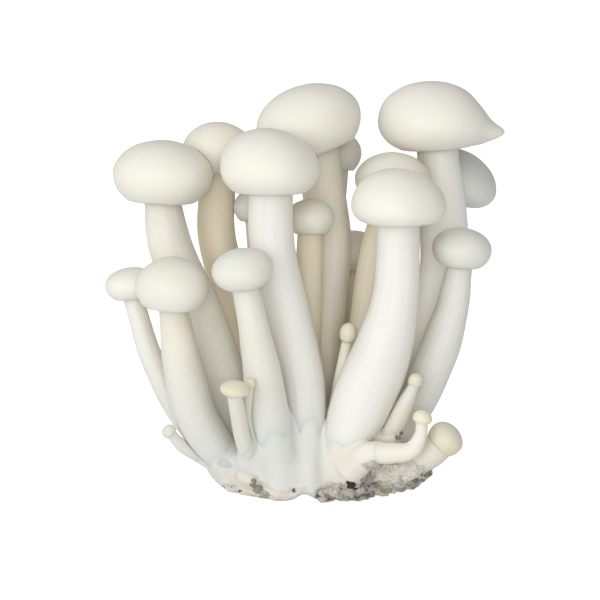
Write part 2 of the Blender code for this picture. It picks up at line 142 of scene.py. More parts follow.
@dataclass(frozen=True)
class Bulge:
    """An outgrowth or, with a length below 0, a flat place on a cap.

    Fields: the way it points, its height as a share of the cap's, its length, and its
    half width round the cap and up it.
    """

    direction: float
    height: float
    length: float
    width: float
    rise: float

    def reach(self, turn: float, share: float) -> float:
        """How far it moves the cap out, in this direction and at this height."""
        off = (turn - self.direction + 180.0) % 360.0 - 180.0
        return self.length * math.exp(-((off / self.width) ** 2) - ((share - self.height) / self.rise) ** 2)


@dataclass(frozen=True)
class Growth:
    """Where one mushroom stands and how it has grown.

    Fields:
        name: the solid that it stands for.
        stem: places along the stem from root to neck, each x, y, z and radius.
        cap: radius and height of the cap.
        lean: how far the cap's axis tips to the right and to the back.
        margin: radius of the inrolled edge, as a share of the cap's radius.
        equator: height of the cap's widest place, as a share of its height.
        habit: open cap or closed pin.
        bulges: outgrowths and flat places on the cap.
        crown: how far the cap's highest point is off its axis, to the right and to the back.
        warmth: how beige its flesh is, from 0 to 1; on the inner and back mushrooms partly painted beige
            shade.
        painted_shade: how much grey shade is painted on its flesh, from 0 to 1, where it stands in shade.
        skirt: how far the cap widens towards its lower edge, as a share of its radius.
        merge: how far up its root it is grown together with its neighbours.
    """

    name: str
    stem: tuple[Station, ...]
    cap: tuple[float, float]
    lean: tuple[float, float] = (0.0, 0.0)
    margin: float = 0.68
    equator: float = 0.45
    habit: Habit = Habit.OPEN
    bulges: tuple[Bulge, ...] = ()
    crown: tuple[float, float] = (0.0, 0.0)
    warmth: float = 0.15
    painted_shade: float = 0.0
    skirt: float = 0.0
    merge: float = 16.0

    # Faces round a pin, and the gills of an open cap: so many, and more for each mm of its radius
    PIN_SIDES = 40
    GILLS = 24
    MORE_GILLS = 3.4

    @property
    def sides(self) -> int:
        """Faces round the skin: two for each gill."""
        if self.habit is Habit.PIN:
            return self.PIN_SIDES
        return 2 * round(self.GILLS + self.MORE_GILLS * self.cap[0])

    @property
    def axis(self) -> Vector:
        """The direction from the neck to the top of the cap."""
        right, back = (math.radians(a) for a in self.lean)
        return Vector((math.sin(right), math.sin(back), math.cos(right) * math.cos(back))).normalized()

    def path(self, spacing: float) -> list[tuple[Vector, float, float]]:
        """Centre, radius and distance from the root, along the stem.

        Args:
            spacing: the longest step between two places.

        Returns:
            One entry for each ring of the stem.
        """
        centres = [Vector(s[:3]) for s in self.stem]
        radii = [s[3] for s in self.stem]
        centres = [2 * centres[0] - centres[1], *centres, 2 * centres[-1] - centres[-2]]
        radii = [radii[0], *radii, radii[-1]]
        places = []
        for i in range(1, len(centres) - 2):
            steps = math.ceil((centres[i + 1] - centres[i]).length / spacing)
            for step in range(steps):
                t = step / steps
                around = slice(i - 1, i + 3)
                places.append((catmull_rom(*centres[around], t), catmull_rom(*radii[around], t)))
        places.append((centres[-2], radii[-2]))
        along = 0.0
        measured = []
        for i, (centre, radius) in enumerate(places):
            along += (centre - places[i - 1][0]).length if i else 0.0
            measured.append((centre, radius, along))
        return measured

    def rings(
        self, spacing: float, end: float = math.inf
    ) -> Iterator[tuple[Vector, float, float, Quaternion]]:
        """Centre, radius, distance from the root and turn of each ring of the stem.

        Args:
            spacing: the longest step between two rings.
            end: how far from the root they go.

        Yields:
            The rings from the root up, each turned as little as possible from the one before.
        """
        path = [place for place in self.path(spacing) if place[2] <= end]
        turn = Quaternion()
        for i, (centre, radius, along) in enumerate(path):
            ahead = path[min(i + 1, len(path) - 1)][0]
            behind = path[max(i - 1, 0)][0]
            turn = (turn @ UP).rotation_difference(ahead - behind) @ turn
            yield centre, radius, along, turn


# The front ones come first, because each one gives way to those above it in this list
# The warmth and the grey of the inner and back mushrooms are partly painted shade, darker and more beige
# where they stand in shade
GROWTHS = (
    Growth(
        "mushroom_front_right_thick",
        ((4.8, -11.5, 5.5, 3.9), (6.9, -12, 14.5, 5.8), (11.0, -13, 25.5, 7.3), (15.5, -14, 37.5, 6.7),
         (18.2, -15, 51.0, 5.3), (18.7, -15, 68.4, 4.9)),
        (10.8, 12.1), lean=(0, -2), margin=0.80, equator=0.28, crown=(-0.8, 0), warmth=0.08, skirt=0.03,
    ),
    Growth(
        "mushroom_front_centre_short",
        ((-8.2, -13, 5.5, 3.9), (-11.4, -15.5, 18.8, 5.2), (-13.3, -17.5, 32.5, 4.4),
         (-15.2, -19, 43.3, 3.5), (-17.2, -19, 53.2, 3.15)),
        (7.2, 8.9), lean=(-8, -4), warmth=0.3, painted_shade=0.3, merge=25.0,
    ),
    Growth(
        "mushroom_front_left_leaning",
        ((-19.6, -7.5, 5.5, 4.2), (-28.0, -11, 17.7, 5.0), (-31.8, -13, 31.5, 4.7),
         (-34.3, -14, 48.4, 3.3)),
        (8.5, 11.0), lean=(2, -8), margin=0.82, equator=0.36, warmth=0.45, painted_shade=0.15,
    ),
    Growth(
        "mushroom_front_centre_tall",
        ((-1.8, -11.5, 5.5, 3.4), (-2.6, -11.5, 14.0, 4.4), (-3.8, -9, 28.0, 5.3), (-7.0, -8, 42.0, 5.5),
         (-10.7, -8.5, 59.3, 5.3), (-11.3, -9, 74.7, 5.2)),
        (11.7, 14.8), margin=0.74, equator=0.34, crown=(-1.2, 0), warmth=0.05, merge=25.0,
    ),
    Growth(
        "mushroom_right_club",
        ((13.5, -3.5, 5.5, 3.6), (22.5, -4.5, 19.5, 4.3), (28.4, -5.5, 33.6, 4.8),
         (32.0, -6, 45.8, 3.9), (33.7, -6, 56.1, 3.0)),
        (7.2, 8.8), lean=(6, -3), warmth=0.1, painted_shade=0.45,
    ),
    Growth(
        "mushroom_left_tall",
        ((-13.5, -1.5, 5.5, 4.1), (-18.0, -2, 14.6, 4.8), (-22.5, -2, 28.1, 5.2), (-27.6, 0, 43.5, 4.5),
         (-35.1, 2, 57.7, 5.3), (-37.4, 2, 71.0, 4.3)),
        (11.9, 14.4), lean=(3, 0), margin=0.70, equator=0.43, warmth=0.3,
    ),
    Growth(
        "mushroom_far_left_slender",
        ((-22.0, -1.0, 5.5, 2.7), (-32.6, -3.5, 18.0, 2.9), (-39.8, -4.0, 32.5, 2.8),
         (-44.3, -3.0, 47.6, 2.4)),
        (6.3, 7.2), lean=(-8, 0), warmth=0.1,
    ),
    Growth(
        "mushroom_inner_right",
        ((5.7, 2.0, 5.5, 3.8), (9.5, 3.5, 24.0, 4.4), (12.0, 4.5, 39.0, 4.4), (14.0, 5, 54.3, 4.3),
         (17.9, 5, 70.4, 4.1)),
        (8.9, 11.5), lean=(0, 2), warmth=1.0, painted_shade=0.15,
    ),
    Growth(
        "mushroom_right_tall",
        ((11.2, 5.0, 5.5, 4.2), (18.5, 7.5, 19.0, 5.0), (25.0, 9.5, 33.0, 5.4), (30.0, 12, 48.8, 5.6),
         (30.8, 13, 62.2, 5.8), (28.9, 14, 82.7, 5.0)),
        (13.7, 15.9), lean=(-4, 0), margin=0.66, equator=0.38,
        bulges=(Bulge(0, 0.13, 4.4, 20, 0.15), Bulge(0, 0.62, -1.2, 40, 0.24)), crown=(-1.8, 0),
        warmth=0.08, skirt=0.02,
    ),
    Growth(
        "mushroom_centre_tall",
        ((0.8, 8.5, 5.5, 3.9), (1.1, 9.5, 20.0, 4.7), (1.3, 10, 34.0, 4.9), (2.2, 11, 46.4, 5.0),
         (2.7, 11, 60.0, 5.4), (-0.3, 11, 82.5, 5.0)),
        (12.9, 15.5), lean=(-19, -3), margin=0.74, crown=(-1.0, 0), warmth=0.4,
    ),
    Growth(
        "mushroom_centre_hidden",
        ((-2.9, 2.5, 5.5, 2.6), (-2.3, 2.2, 45.5, 3.3), (-1.9, 1.2, 62.7, 3.0)),
        (5.8, 8.0), warmth=0.8,
    ),
    Growth(
        "mushroom_left_tall_behind",
        ((-9.5, 5.5, 5.5, 3.9), (-12.0, 7.5, 20.0, 4.6), (-15.6, 8.5, 35.0, 4.9), (-21.2, 10, 47.9, 4.9),
         (-24.6, 11, 60.0, 4.6), (-24.2, 12, 76.2, 4.4)),
        (8.4, 12.4), lean=(-2, 3), warmth=0.8,
    ),
    Growth(
        "mushroom_back_left_button",
        ((-7.5, 13.0, 5.5, 2.3), (-9.0, 14.5, 30.0, 2.2), (-14.0, 12.0, 50.0, 2.2),
         (-15.8, 9.0, 64.6, 1.9)),
        (4.4, 7.3), lean=(-6, 0), warmth=0.7, painted_shade=0.8,
    ),
    Growth(
        "mushroom_back_centre",
        ((4.6, 14.0, 5.5, 3.0), (2.0, 17.5, 38.0, 3.0), (5.0, 22, 75.4, 2.7)),
        (5.7, 9.4), lean=(4, 6), warmth=0.9, painted_shade=0.6,
    ),
    Growth(
        "mushroom_back_right_tipped",
        ((14.5, 11.0, 5.5, 3.4), (26.0, 17.5, 32.0, 3.7), (31.5, 22.5, 56.0, 3.6), (34.0, 24.9, 69.6, 3.4)),
        (9.3, 10.2), lean=(34, -14), warmth=0.3, painted_shade=0.9,
    ),
    Growth(
        "mushroom_back_low_right",
        ((9.5, 12.0, 5.5, 3.4), (9.2, 18.5, 24.0, 3.9), (9.0, 24, 50.0, 3.4)),
        (7.0, 10.0), lean=(0, 6), warmth=1.0, painted_shade=0.1,
    ),
    Growth(
        "mushroom_back_low_centre",
        ((-1.5, 14.0, 5.5, 3.0), (-2.0, 20, 22.0, 3.4), (-1.0, 24, 38.0, 2.9)),
        (6.4, 8.4), lean=(-3, 16), warmth=0.1,
    ),
    Growth(
        "mushroom_back_low_left",
        ((-13.0, 11.0, 5.5, 3.0), (-20.0, 18, 22.0, 3.3), (-24.5, 22, 39.0, 2.8)),
        (6.2, 8.4), lean=(-10, 14), warmth=0.15,
    ),
    Growth(
        "mushroom_back_left_small",
        ((-16.5, 5.5, 5.5, 2.4), (-24.0, 11, 16.0, 2.5), (-29.5, 14, 29.5, 2.1)),
        (4.8, 6.4), lean=(-14, 10), warmth=0.1,
    ),
    Growth(
        "pin_front_left",
        ((-16.2, -13.0, 6.0, 2.7), (-16.4, -16.8, 12.0, 2.4), (-18.0, -20.2, 18.2, 1.95),
         (-19.4, -25.5, 28.2, 1.8)),
        (3.5, 3.4), lean=(5, -6), margin=0.62, habit=Habit.PIN, warmth=0.95, merge=14.0,
    ),
    Growth(
        "pin_front_left_second",
        ((-13.2, -14.6, 6.0, 2.6), (-15.3, -17.4, 14.0, 1.8), (-16.5, -19.6, 21.5, 1.0),
         (-15.9, -22.0, 29.2, 0.9)),
        (1.3, 2.2), lean=(6, 0), margin=0.78, habit=Habit.PIN, warmth=1.1, merge=14.0,
    ),
    Growth(
        "pin_far_left",
        ((-21.5, -6.5, 6.2, 1.8), (-26.0, -9.0, 8.8, 1.8), (-31.6, -12, 12.3, 1.6), (-34.8, -14, 16.2, 1.2)),
        (1.7, 2.4), lean=(-40, 0), margin=0.90, habit=Habit.PIN, warmth=0.4,
    ),
    Growth(
        "pin_centre",
        ((2.0, -4.5, 12.0, 1.5), (5.2, -8, 28.0, 1.5), (6.9, -8, 37.7, 1.3)),
        (2.0, 4.4), lean=(8, -8), margin=0.72, habit=Habit.PIN, warmth=1.0, painted_shade=0.4,
    ),
    Growth(
        "pin_right_slender",
        ((13.5, -10.5, 7.5, 2.6), (16.8, -12.5, 15.4, 2.7), (19.8, -14, 22.0, 2.3), (22.6, -15, 28.4, 1.25)),
        (1.7, 2.8), lean=(14, 0), margin=0.90, habit=Habit.PIN, warmth=0.55, painted_shade=0.4,
    ),
    Growth(
        "pin_front_right_bent",
        ((6.8, -14.5, 8.0, 3.1), (11.5, -18.5, 12.4, 2.8), (17.0, -20.5, 13.1, 2.5), (21.6, -21.5, 14.0, 2.1),
         (23.8, -22, 17.6, 1.55), (24.1, -22, 21.1, 1.4)),
        (2.3, 2.6), lean=(10, -5), margin=0.86, equator=0.30, habit=Habit.PIN, warmth=0.55,
    ),
    Growth(
        "pin_far_right_stout",
        ((15.5, -11.5, 6.5, 3.6), (20.5, -15, 9.0, 3.7), (26.0, -17, 12.0, 3.6), (28.8, -17.5, 14.6, 3.5)),
        (4.3, 5.6), lean=(40, -6), margin=0.88, habit=Habit.PIN, warmth=1.0, painted_shade=0.45,
    ),
    Growth(
        "pin_back_left",
        ((-18.8, 10.0, 5.5, 2.2), (-23.0, 14.5, 12.0, 2.0), (-26.5, 16, 19.0, 1.5)),
        (2.6, 3.4), lean=(-14, 12), margin=0.62, habit=Habit.PIN, warmth=0.5,
    ),
    Growth(
        "pin_back_centre",
        ((-7.3, 17.0, 5.5, 2.0), (-8.5, 21, 13.0, 1.8), (-9.0, 22.5, 21.0, 1.4)),
        (2.4, 3.2), lean=(0, 14), margin=0.62, habit=Habit.PIN, warmth=0.5,
    ),
    Growth(
        "pin_back_right",
        ((17.5, 2.5, 5.5, 2.2), (21.5, 3.5, 12.5, 2.0), (25.0, 3.5, 18.5, 1.6)),
        (2.8, 3.4), lean=(20, 8), margin=0.62, habit=Habit.PIN, warmth=0.5,
    ),
)


class Sketch:
    """One node tree, with short ways to add nodes and join them."""

    def __init__(self, tree: bpy.types.NodeTree) -> None:
        """Takes the tree to draw in."""
        self.tree = tree

    def add(self, kind: str, **values) -> bpy.types.Node:
        """Adds a node.

        Args:
            kind: the node's type, without the leading ShaderNode.
            values: the node's own settings, by attribute name.

        Returns:
            The new node.
        """
        node = self.tree.nodes.new("ShaderNode" + kind)
        for name, value in values.items():
            setattr(node, name, value)
        return node

    def feed(self, node: bpy.types.Node, **sources) -> bpy.types.Node:
        """Sets or links a node's inputs.

        Args:
            node: the node to feed.
            sources: for each input, its name with _ for a space, or its place after an i;
                a socket is linked, and anything else is set as the value.

        Returns:
            The same node.
        """
        for name, source in sources.items():
            socket = node.inputs[int(name[1:]) if name[1:].isdigit() else name.replace("_", " ")]
            if isinstance(source, bpy.types.NodeSocket):
                self.tree.links.new(source, socket)
            else:
                socket.default_value = (*source, 1.0) if socket.type == "RGBA" else source
        return node

    def noise(self, where: bpy.types.NodeSocket, scale: float, detail: float = 2.0) -> bpy.types.NodeSocket:
        """Cloudy noise at a scale in waves to the metre, or to the unit of an attribute."""
        node = self.add("TexNoise")
        self.feed(node, Vector=where, Scale=scale, Detail=detail)
        return node.outputs["Fac"]

    def ramp(self, value: bpy.types.NodeSocket, low: float, high: float) -> bpy.types.NodeSocket:
        """The value spread softly so that low gives 0 and high gives 1."""
        node = self.add("MapRange", interpolation_type="SMOOTHSTEP")
        self.feed(node, Value=value, From_Min=low, From_Max=high)
        return node.outputs["Result"]

    def maths(self, operation: str, first: Source, second: Source) -> bpy.types.NodeSocket:
        """One sum on two values, each a socket or a number."""
        node = self.add("Math", operation=operation)
        self.feed(node, i0=first, i1=second)
        return node.outputs[0]

    def mix(self, share: Source, first: Source, second: Source) -> bpy.types.NodeSocket:
        """A blend of two colours, from the first at a share of 0 to the second at 1."""
        node = self.add("Mix", data_type="RGBA")
        self.feed(node, i0=share, i6=first, i7=second)
        return node.outputs[2]

    def attribute(self, name: str, output: str = "Fac") -> bpy.types.NodeSocket:
        """A value that the mesh carries on its points."""
        return self.add("Attribute", attribute_name=name).outputs[output]

    def place(self) -> bpy.types.NodeSocket:
        """The point's own place, in metres."""
        return self.add("TexCoord").outputs["Object"]

    def bump(
        self, height: bpy.types.NodeSocket, distance: float, strength: float,
        under: bpy.types.NodeSocket | None = None,
    ) -> bpy.types.NodeSocket:
        """A relief of this height in metres, laid on another one if given."""
        node = self.add("Bump")
        self.feed(node, Height=height, Distance=distance, Strength=strength)
        if under is not None:
            self.feed(node, Normal=under)
        return node.outputs["Normal"]


def new_finish(name: str) -> tuple[bpy.types.Material, Sketch, bpy.types.Node]:
    """A new material, the sketch of its tree and its shader."""
    made = bpy.data.materials.new(name)
    made.use_nodes = True
    return made, Sketch(made.node_tree), made.node_tree.nodes["Principled BSDF"]


def new_group(name: str, inputs: dict[str, str], outputs: dict[str, str]) -> tuple[Sketch, dict, dict]:
    """A shader node group with named sockets.

    Args:
        name: the group's name.
        inputs: the kind of each input socket, by name.
        outputs: the kind of each output socket, by name.

    Returns:
        The sketch of its tree, its inputs' sources and its outputs' targets, by name.
    """
    tree = bpy.data.node_groups.new(name, "ShaderNodeTree")
    for label, kind in inputs.items():
        tree.interface.new_socket(label, in_out="INPUT", socket_type="NodeSocket" + kind)
    for label, kind in outputs.items():
        tree.interface.new_socket(label, in_out="OUTPUT", socket_type="NodeSocket" + kind)
    entry = tree.nodes.new("NodeGroupInput")
    leave = tree.nodes.new("NodeGroupOutput")
    return (
        Sketch(tree),
        {label: entry.outputs[label] for label in inputs},
        {label: leave.inputs[label] for label in outputs},
    )


class Effects:
    """The surface effects that several finishes share, each one node group."""

    # Noise scales in waves to the metre
    CLOUD = 95.0
    SPECKS = 900.0
    THREADS = 600.0
    PITS = 420.0

    # Fibre scales across and along a stem, in waves to the millimetre, and where fibres begin
    FINE = (3.2, 3.2, 0.09)
    COARSE = (0.9, 0.9, 0.05)
    FIBRES_FROM = (9.0, 26.0)

    def __init__(self) -> None:
        """Builds every group once."""
        self.flesh = self._flesh()
        self.fibre = self._fibre()
        self.felt = self._felt()

    @staticmethod
    def _flesh() -> bpy.types.NodeTree:
        """Flesh colour: clouds of beige on the pale, grey towards ash, and faint specks; the beige and grey
        that it is fed also carry painted shade.
        """
        sketch, source, target = new_group(
            "flesh_tone",
            {
                "Place": "Vector", "Warmth": "Float", "Ashen": "Float",
                "Pale": "Color", "Beige": "Color", "Ash": "Color", "Speck": "Color",
            },
            {"Colour": "Color", "Cloud": "Float"},
        )
        cloud = sketch.noise(source["Place"], Effects.CLOUD, 3.0)
        drift = sketch.maths("SUBTRACT", cloud, 0.5)
        share = sketch.maths("ADD", source["Warmth"], sketch.maths("MULTIPLY", drift, 0.55))
        share = sketch.ramp(share, 0.0, 1.0)
        toned = sketch.mix(share, source["Pale"], source["Beige"])
        # Greys the flesh, by the foot's ashen tone and by the grey shade painted on shaded mushrooms
        toned = sketch.mix(source["Ashen"], toned, source["Ash"])
        grain = sketch.noise(source["Place"], Effects.SPECKS)
        specks = sketch.maths("MULTIPLY", sketch.ramp(grain, 0.70, 0.80), 0.35)
        specked = sketch.mix(specks, toned, source["Speck"])
        sketch.tree.links.new(specked, target["Colour"])
        sketch.tree.links.new(cloud, target["Cloud"])
        return sketch.tree

    @staticmethod
    def _fibre() -> bpy.types.NodeTree:
        """Fibres that run up a stem, from its growth attribute."""
        sketch, source, target = new_group(
            "stem_fibre", {"Growth": "Vector"}, {"Height": "Float", "Streak": "Float"}
        )
        fine = sketch.feed(sketch.add("Mapping"), Vector=source["Growth"], Scale=Effects.FINE)
        coarse = sketch.feed(sketch.add("Mapping"), Vector=source["Growth"], Scale=Effects.COARSE)
        height = sketch.noise(fine.outputs[0], 1.0)
        streak = sketch.noise(coarse.outputs[0], 1.0, 3.0)
        both = sketch.maths("ADD", height, streak)
        parts = sketch.feed(sketch.add("SeparateXYZ"), Vector=source["Growth"])
        grown = sketch.ramp(parts.outputs["Z"], *Effects.FIBRES_FROM)
        sketch.tree.links.new(sketch.maths("MULTIPLY", both, grown), target["Height"])
        shade = sketch.maths("MULTIPLY", sketch.ramp(streak, 0.38, 0.70), grown)
        sketch.tree.links.new(shade, target["Streak"])
        return sketch.tree

    @staticmethod
    def _felt() -> bpy.types.NodeTree:
        """Felted mycelium: tangled threads and small pits."""
        sketch, source, target = new_group("felt", {"Place": "Vector"}, {"Height": "Float", "Pit": "Float"})
        twist = sketch.add("TexNoise")
        sketch.feed(twist, Vector=source["Place"], Scale=Effects.THREADS, Detail=3.0, Distortion=1.5)
        pits = sketch.feed(sketch.add("TexVoronoi"), Vector=source["Place"], Scale=Effects.PITS)
        pit = sketch.ramp(pits.outputs["Distance"], 0.1, 0.5)
        sketch.tree.links.new(sketch.maths("ADD", twist.outputs["Fac"], pit), target["Height"])
        sketch.tree.links.new(pit, target["Pit"])
        return sketch.tree

    def toned(self, sketch: Sketch, pale: Colour, beige: Colour, speck: Colour) -> bpy.types.Node:
        """Adds the flesh's tone to a finish.

        Args:
            sketch: the finish's tree.
            pale: the colour of its pale parts.
            beige: the colour of its warm parts.
            speck: the colour of its specks.

        Returns:
            The group's node, fed from what the mesh carries.
        """
        return sketch.feed(
            sketch.add("Group", node_tree=self.flesh),
            Place=sketch.place(), Warmth=sketch.attribute("warmth"), Ashen=sketch.attribute("ashen"),
            Pale=pale, Beige=beige, Ash=ASH_AND_SHADE, Speck=speck,
        )

    def felted(self, sketch: Sketch) -> bpy.types.NodeSocket:
        """Adds the felt's height to a finish."""
        return sketch.feed(sketch.add("Group", node_tree=self.felt), Place=sketch.place()).outputs["Height"]


@dataclass(frozen=True)
class Flesh:
    """The finish of mushroom flesh.

    Fields: its name, the colours of its pale and beige parts and of its specks, its
    roughness, its relief in metres, how much light it lets in, and whether it has fibres.
    """

    name: str
    pale: Colour
    beige: Colour
    speck: Colour
    roughness: float
    relief: float
    glow: float
    fibrous: bool

    # Waves to the metre of the grain and of the swellings, how strong streaks are, how much the
    # roughness changes, how far red, green and blue light go in, and how far that is in metres
    GRAIN = 1400.0
    SWELLS = 320.0
    STREAKS = 0.16
    ROUGHER = 0.16
    LIGHT = (1.0, 0.82, 0.60)
    LIGHT_DEPTH = 0.0045

    def material(self, effects: Effects) -> bpy.types.Material:
        """Builds the material.

        Args:
            effects: the shared node groups.

        Returns:
            The new material.
        """
        made, sketch, shader = new_finish(self.name)
        place = sketch.place()
        tone = effects.toned(sketch, self.pale, self.beige, self.speck)
        colour = tone.outputs["Colour"]
        normal = sketch.bump(sketch.noise(place, self.GRAIN), self.relief * 0.4, 0.5)
        if self.fibrous:
            fibre = sketch.add("Group", node_tree=effects.fibre)
            sketch.feed(fibre, Growth=sketch.attribute("growth", "Vector"))
            streak = sketch.maths("MULTIPLY", fibre.outputs["Streak"], self.STREAKS)
            colour = sketch.mix(streak, colour, self.beige)
            normal = sketch.bump(fibre.outputs["Height"], self.relief, 0.6, normal)
        else:
            normal = sketch.bump(sketch.noise(place, self.SWELLS, 3.0), self.relief * 1.6, 0.5, normal)
        rough = sketch.maths("MULTIPLY_ADD", tone.outputs["Cloud"], self.ROUGHER)
        sketch.feed(rough.node, i2=self.roughness - self.ROUGHER / 2)
        sketch.feed(
            shader, Base_Color=colour, Roughness=rough, Normal=normal, Specular_IOR_Level=0.42,
            Subsurface_Weight=self.glow, Subsurface_Radius=self.LIGHT, Subsurface_Scale=self.LIGHT_DEPTH,
        )
        return made


@dataclass(frozen=True)
class Mycelium:
    """The finish of the felted foot: flesh above, felt and stains of the medium below.

    Fields: its name, the flesh's pale and beige, the felt's white, and the stain.
    """

    name: str
    pale: Colour
    beige: Colour
    white: Colour
    stain: Colour

    # Waves to the metre of the stains, the felt's relief in metres, and the light's reach
    STAINS = 260.0
    RELIEF = 0.00035
    LIGHT = (1.0, 0.78, 0.52)
    LIGHT_DEPTH = 0.0022

    def material(self, effects: Effects) -> bpy.types.Material:
        """Builds the material from the shared node groups."""
        made, sketch, shader = new_finish(self.name)
        tone = effects.toned(sketch, self.pale, self.beige, self.stain)
        felted = sketch.attribute("felted")
        colour = sketch.mix(sketch.maths("MULTIPLY", felted, 0.7), tone.outputs["Colour"], self.white)
        drift = sketch.maths("SUBTRACT", sketch.noise(sketch.place(), self.STAINS, 4.0), 0.5)
        patch = sketch.maths("ADD", sketch.attribute("stained"), drift)
        colour = sketch.mix(sketch.ramp(patch, 0.10, 0.95), colour, self.stain)
        height = sketch.maths("MULTIPLY", effects.felted(sketch), felted)
        sketch.feed(
            shader, Base_Color=colour, Normal=sketch.bump(height, self.RELIEF, 0.7), Roughness=0.72,
            Subsurface_Weight=0.25, Subsurface_Radius=self.LIGHT, Subsurface_Scale=self.LIGHT_DEPTH,
        )
        return made


@dataclass(frozen=True)
class Medium:
    """The finish of growing medium: bran and sawdust, grown over with white in places.

    Fields: its name, the colours of its light and dark grains, of the white growth and of the
    olive places.
    """

    name: str
    light: Colour
    dark: Colour
    white: Colour
    olive: Colour

    # Waves to the metre of the grains and of the shades, and the two reliefs in metres
    GRAINS = 900.0
    SHADES = 420.0
    GRAIN_RELIEF = 0.0004
    FELT_RELIEF = 0.0003

    def material(self, effects: Effects) -> bpy.types.Material:
        """Builds the material from the shared node groups."""
        made, sketch, shader = new_finish(self.name)
        place = sketch.place()
        grains = sketch.feed(sketch.add("TexVoronoi"), Vector=place, Scale=self.GRAINS)
        drift = sketch.maths("SUBTRACT", sketch.noise(place, self.SHADES, 4.0), 0.5)
        tone = sketch.maths("ADD", sketch.attribute("tone"), drift)
        colour = sketch.mix(sketch.ramp(tone, 0.1, 1.2), self.light, self.dark)
        colour = sketch.mix(sketch.attribute("olive"), colour, self.olive)
        grown = sketch.maths("ADD", sketch.attribute("felted"), drift)
        colour = sketch.mix(sketch.ramp(grown, 0.2, 0.9), colour, self.white)
        normal = sketch.bump(grains.outputs["Distance"], self.GRAIN_RELIEF, 0.5)
        normal = sketch.bump(effects.felted(sketch), self.FELT_RELIEF, 0.5, normal)
        sketch.feed(shader, Base_Color=colour, Normal=normal, Roughness=0.92)
        return made


# The cool tone of the flesh near the foot, also the grey of the painted shade, and the floor's and the
# background's white
ASH_AND_SHADE = (0.67, 0.69, 0.66)
WHITE = (1.0, 1.0, 1.0)

CAP_SKIN = Flesh(
    "cap_skin", (0.85, 0.84, 0.77), (0.81, 0.75, 0.63), (0.70, 0.66, 0.56), 0.46, 0.00006, 0.40, False
)
GILL_FLESH = Flesh(
    "gill_flesh", (0.80, 0.74, 0.60), (0.72, 0.62, 0.46), (0.66, 0.58, 0.44), 0.70, 0.00006, 0.20, False
)
STEM_FLESH = Flesh(
    "stem_flesh", (0.85, 0.85, 0.82), (0.80, 0.73, 0.58), (0.68, 0.63, 0.53), 0.55, 0.00007, 0.50, True
)
PIN_SKIN = Flesh(
    "pin_skin", (0.86, 0.84, 0.73), (0.83, 0.74, 0.50), (0.70, 0.62, 0.42), 0.48, 0.00005, 0.35, False
)
PIN_FLESH = Flesh(
    "pin_flesh", (0.86, 0.85, 0.80), (0.82, 0.76, 0.60), (0.68, 0.62, 0.50), 0.54, 0.00006, 0.35, True
)
FOOT_FELT = Mycelium(
    "mycelium", (0.84, 0.85, 0.82), (0.79, 0.71, 0.59), (0.82, 0.82, 0.78), (0.69, 0.62, 0.52)
)
CRUMBLY_MEDIUM = Medium(
    "growing_medium", (0.60, 0.56, 0.50), (0.03, 0.025, 0.02), (0.80, 0.78, 0.73), (0.40, 0.37, 0.24)
)


class Skin:
    """A closed surface that grows ring by ring from one circle, by extruding its edge."""

    def __init__(self, sides: int, bm: bmesh.types.BMesh | None = None) -> None:
        """Starts with one circle.

        Args:
            sides: how many faces run round the skin.
            bm: the mesh to grow it in, or None for a new one.
        """
        self.bm = bm or bmesh.new()
        layers = self.bm.verts.layers
        self.meridian = layers.int.get("meridian") or layers.int.new("meridian")
        self.growth = layers.float_vector.get("growth") or layers.float_vector.new("growth")
        self.sides = sides
        made = bmesh.ops.create_circle(self.bm, cap_ends=False, radius=MM, segments=sides)
        for index, vert in enumerate(made["verts"]):
            vert[self.meridian] = index
        self.ring = made["verts"]
        self.edge = list({edge for vert in self.ring for edge in vert.link_edges})
        self.zone = Zone.STEM
        self.started = False

    def put(self, placer: Placer) -> None:
        """Places the newest ring.

        Args:
            placer: gives a point and its growth, in millimetres, for an angle and a meridian.
        """
        for vert in self.ring:
            index = vert[self.meridian]
            point, growth = placer(2 * math.pi * index / self.sides, index)
            vert.co = point * MM
            vert[self.growth] = growth

    def add(self, placer: Placer) -> None:
        """Grows one more ring of stem, or places the first ring and closes it with one face."""
        if self.started:
            self.grow(placer, Zone.STEM)
        else:
            self.put(placer)
            self._close()
            self.started = True

    def _close(self) -> list[bmesh.types.BMFace]:
        """Closes the newest ring with one face."""
        faces = bmesh.ops.contextual_create(self.bm, geom=self.edge)["faces"]
        for face in faces:
            face.material_index = self.zone.value
        return faces

    def grow(self, placer: Placer, zone: Zone) -> None:
        """Extrudes the open edge once and places the new ring."""
        made = bmesh.ops.extrude_edge_only(self.bm, edges=self.edge)["geom"]
        self.ring = [item for item in made if isinstance(item, bmesh.types.BMVert)]
        self.edge = [item for item in made if isinstance(item, bmesh.types.BMEdge) and item.is_boundary]
        for item in made:
            if isinstance(item, bmesh.types.BMFace):
                item.material_index = zone.value
        self.zone = zone
        self.put(placer)

    def close_top(self) -> None:
        """Closes the last ring with a fan."""
        bmesh.ops.poke(self.bm, faces=self._close())


def new_mesh(bm: bmesh.types.BMesh, name: str) -> bpy.types.Mesh:
    """A mesh of this bmesh, which is freed."""
    mesh = bpy.data.meshes.new(name)
    bm.to_mesh(mesh)
    bm.free()
    return mesh


def new_object(name: str, data: bpy.types.ID) -> bpy.types.Object:
    """An object in the scene, at the origin."""
    made = bpy.data.objects.new(name, data)
    bpy.context.scene.collection.objects.link(made)
    return made


def values(bm: bmesh.types.BMesh, *names: str) -> list[bmesh.types.BMLayerItem]:
    """New layers of values that the mesh carries on its points."""
    for name in names:
        bm.verts.layers.float.new(name)
    return [bm.verts.layers.float[name] for name in names]


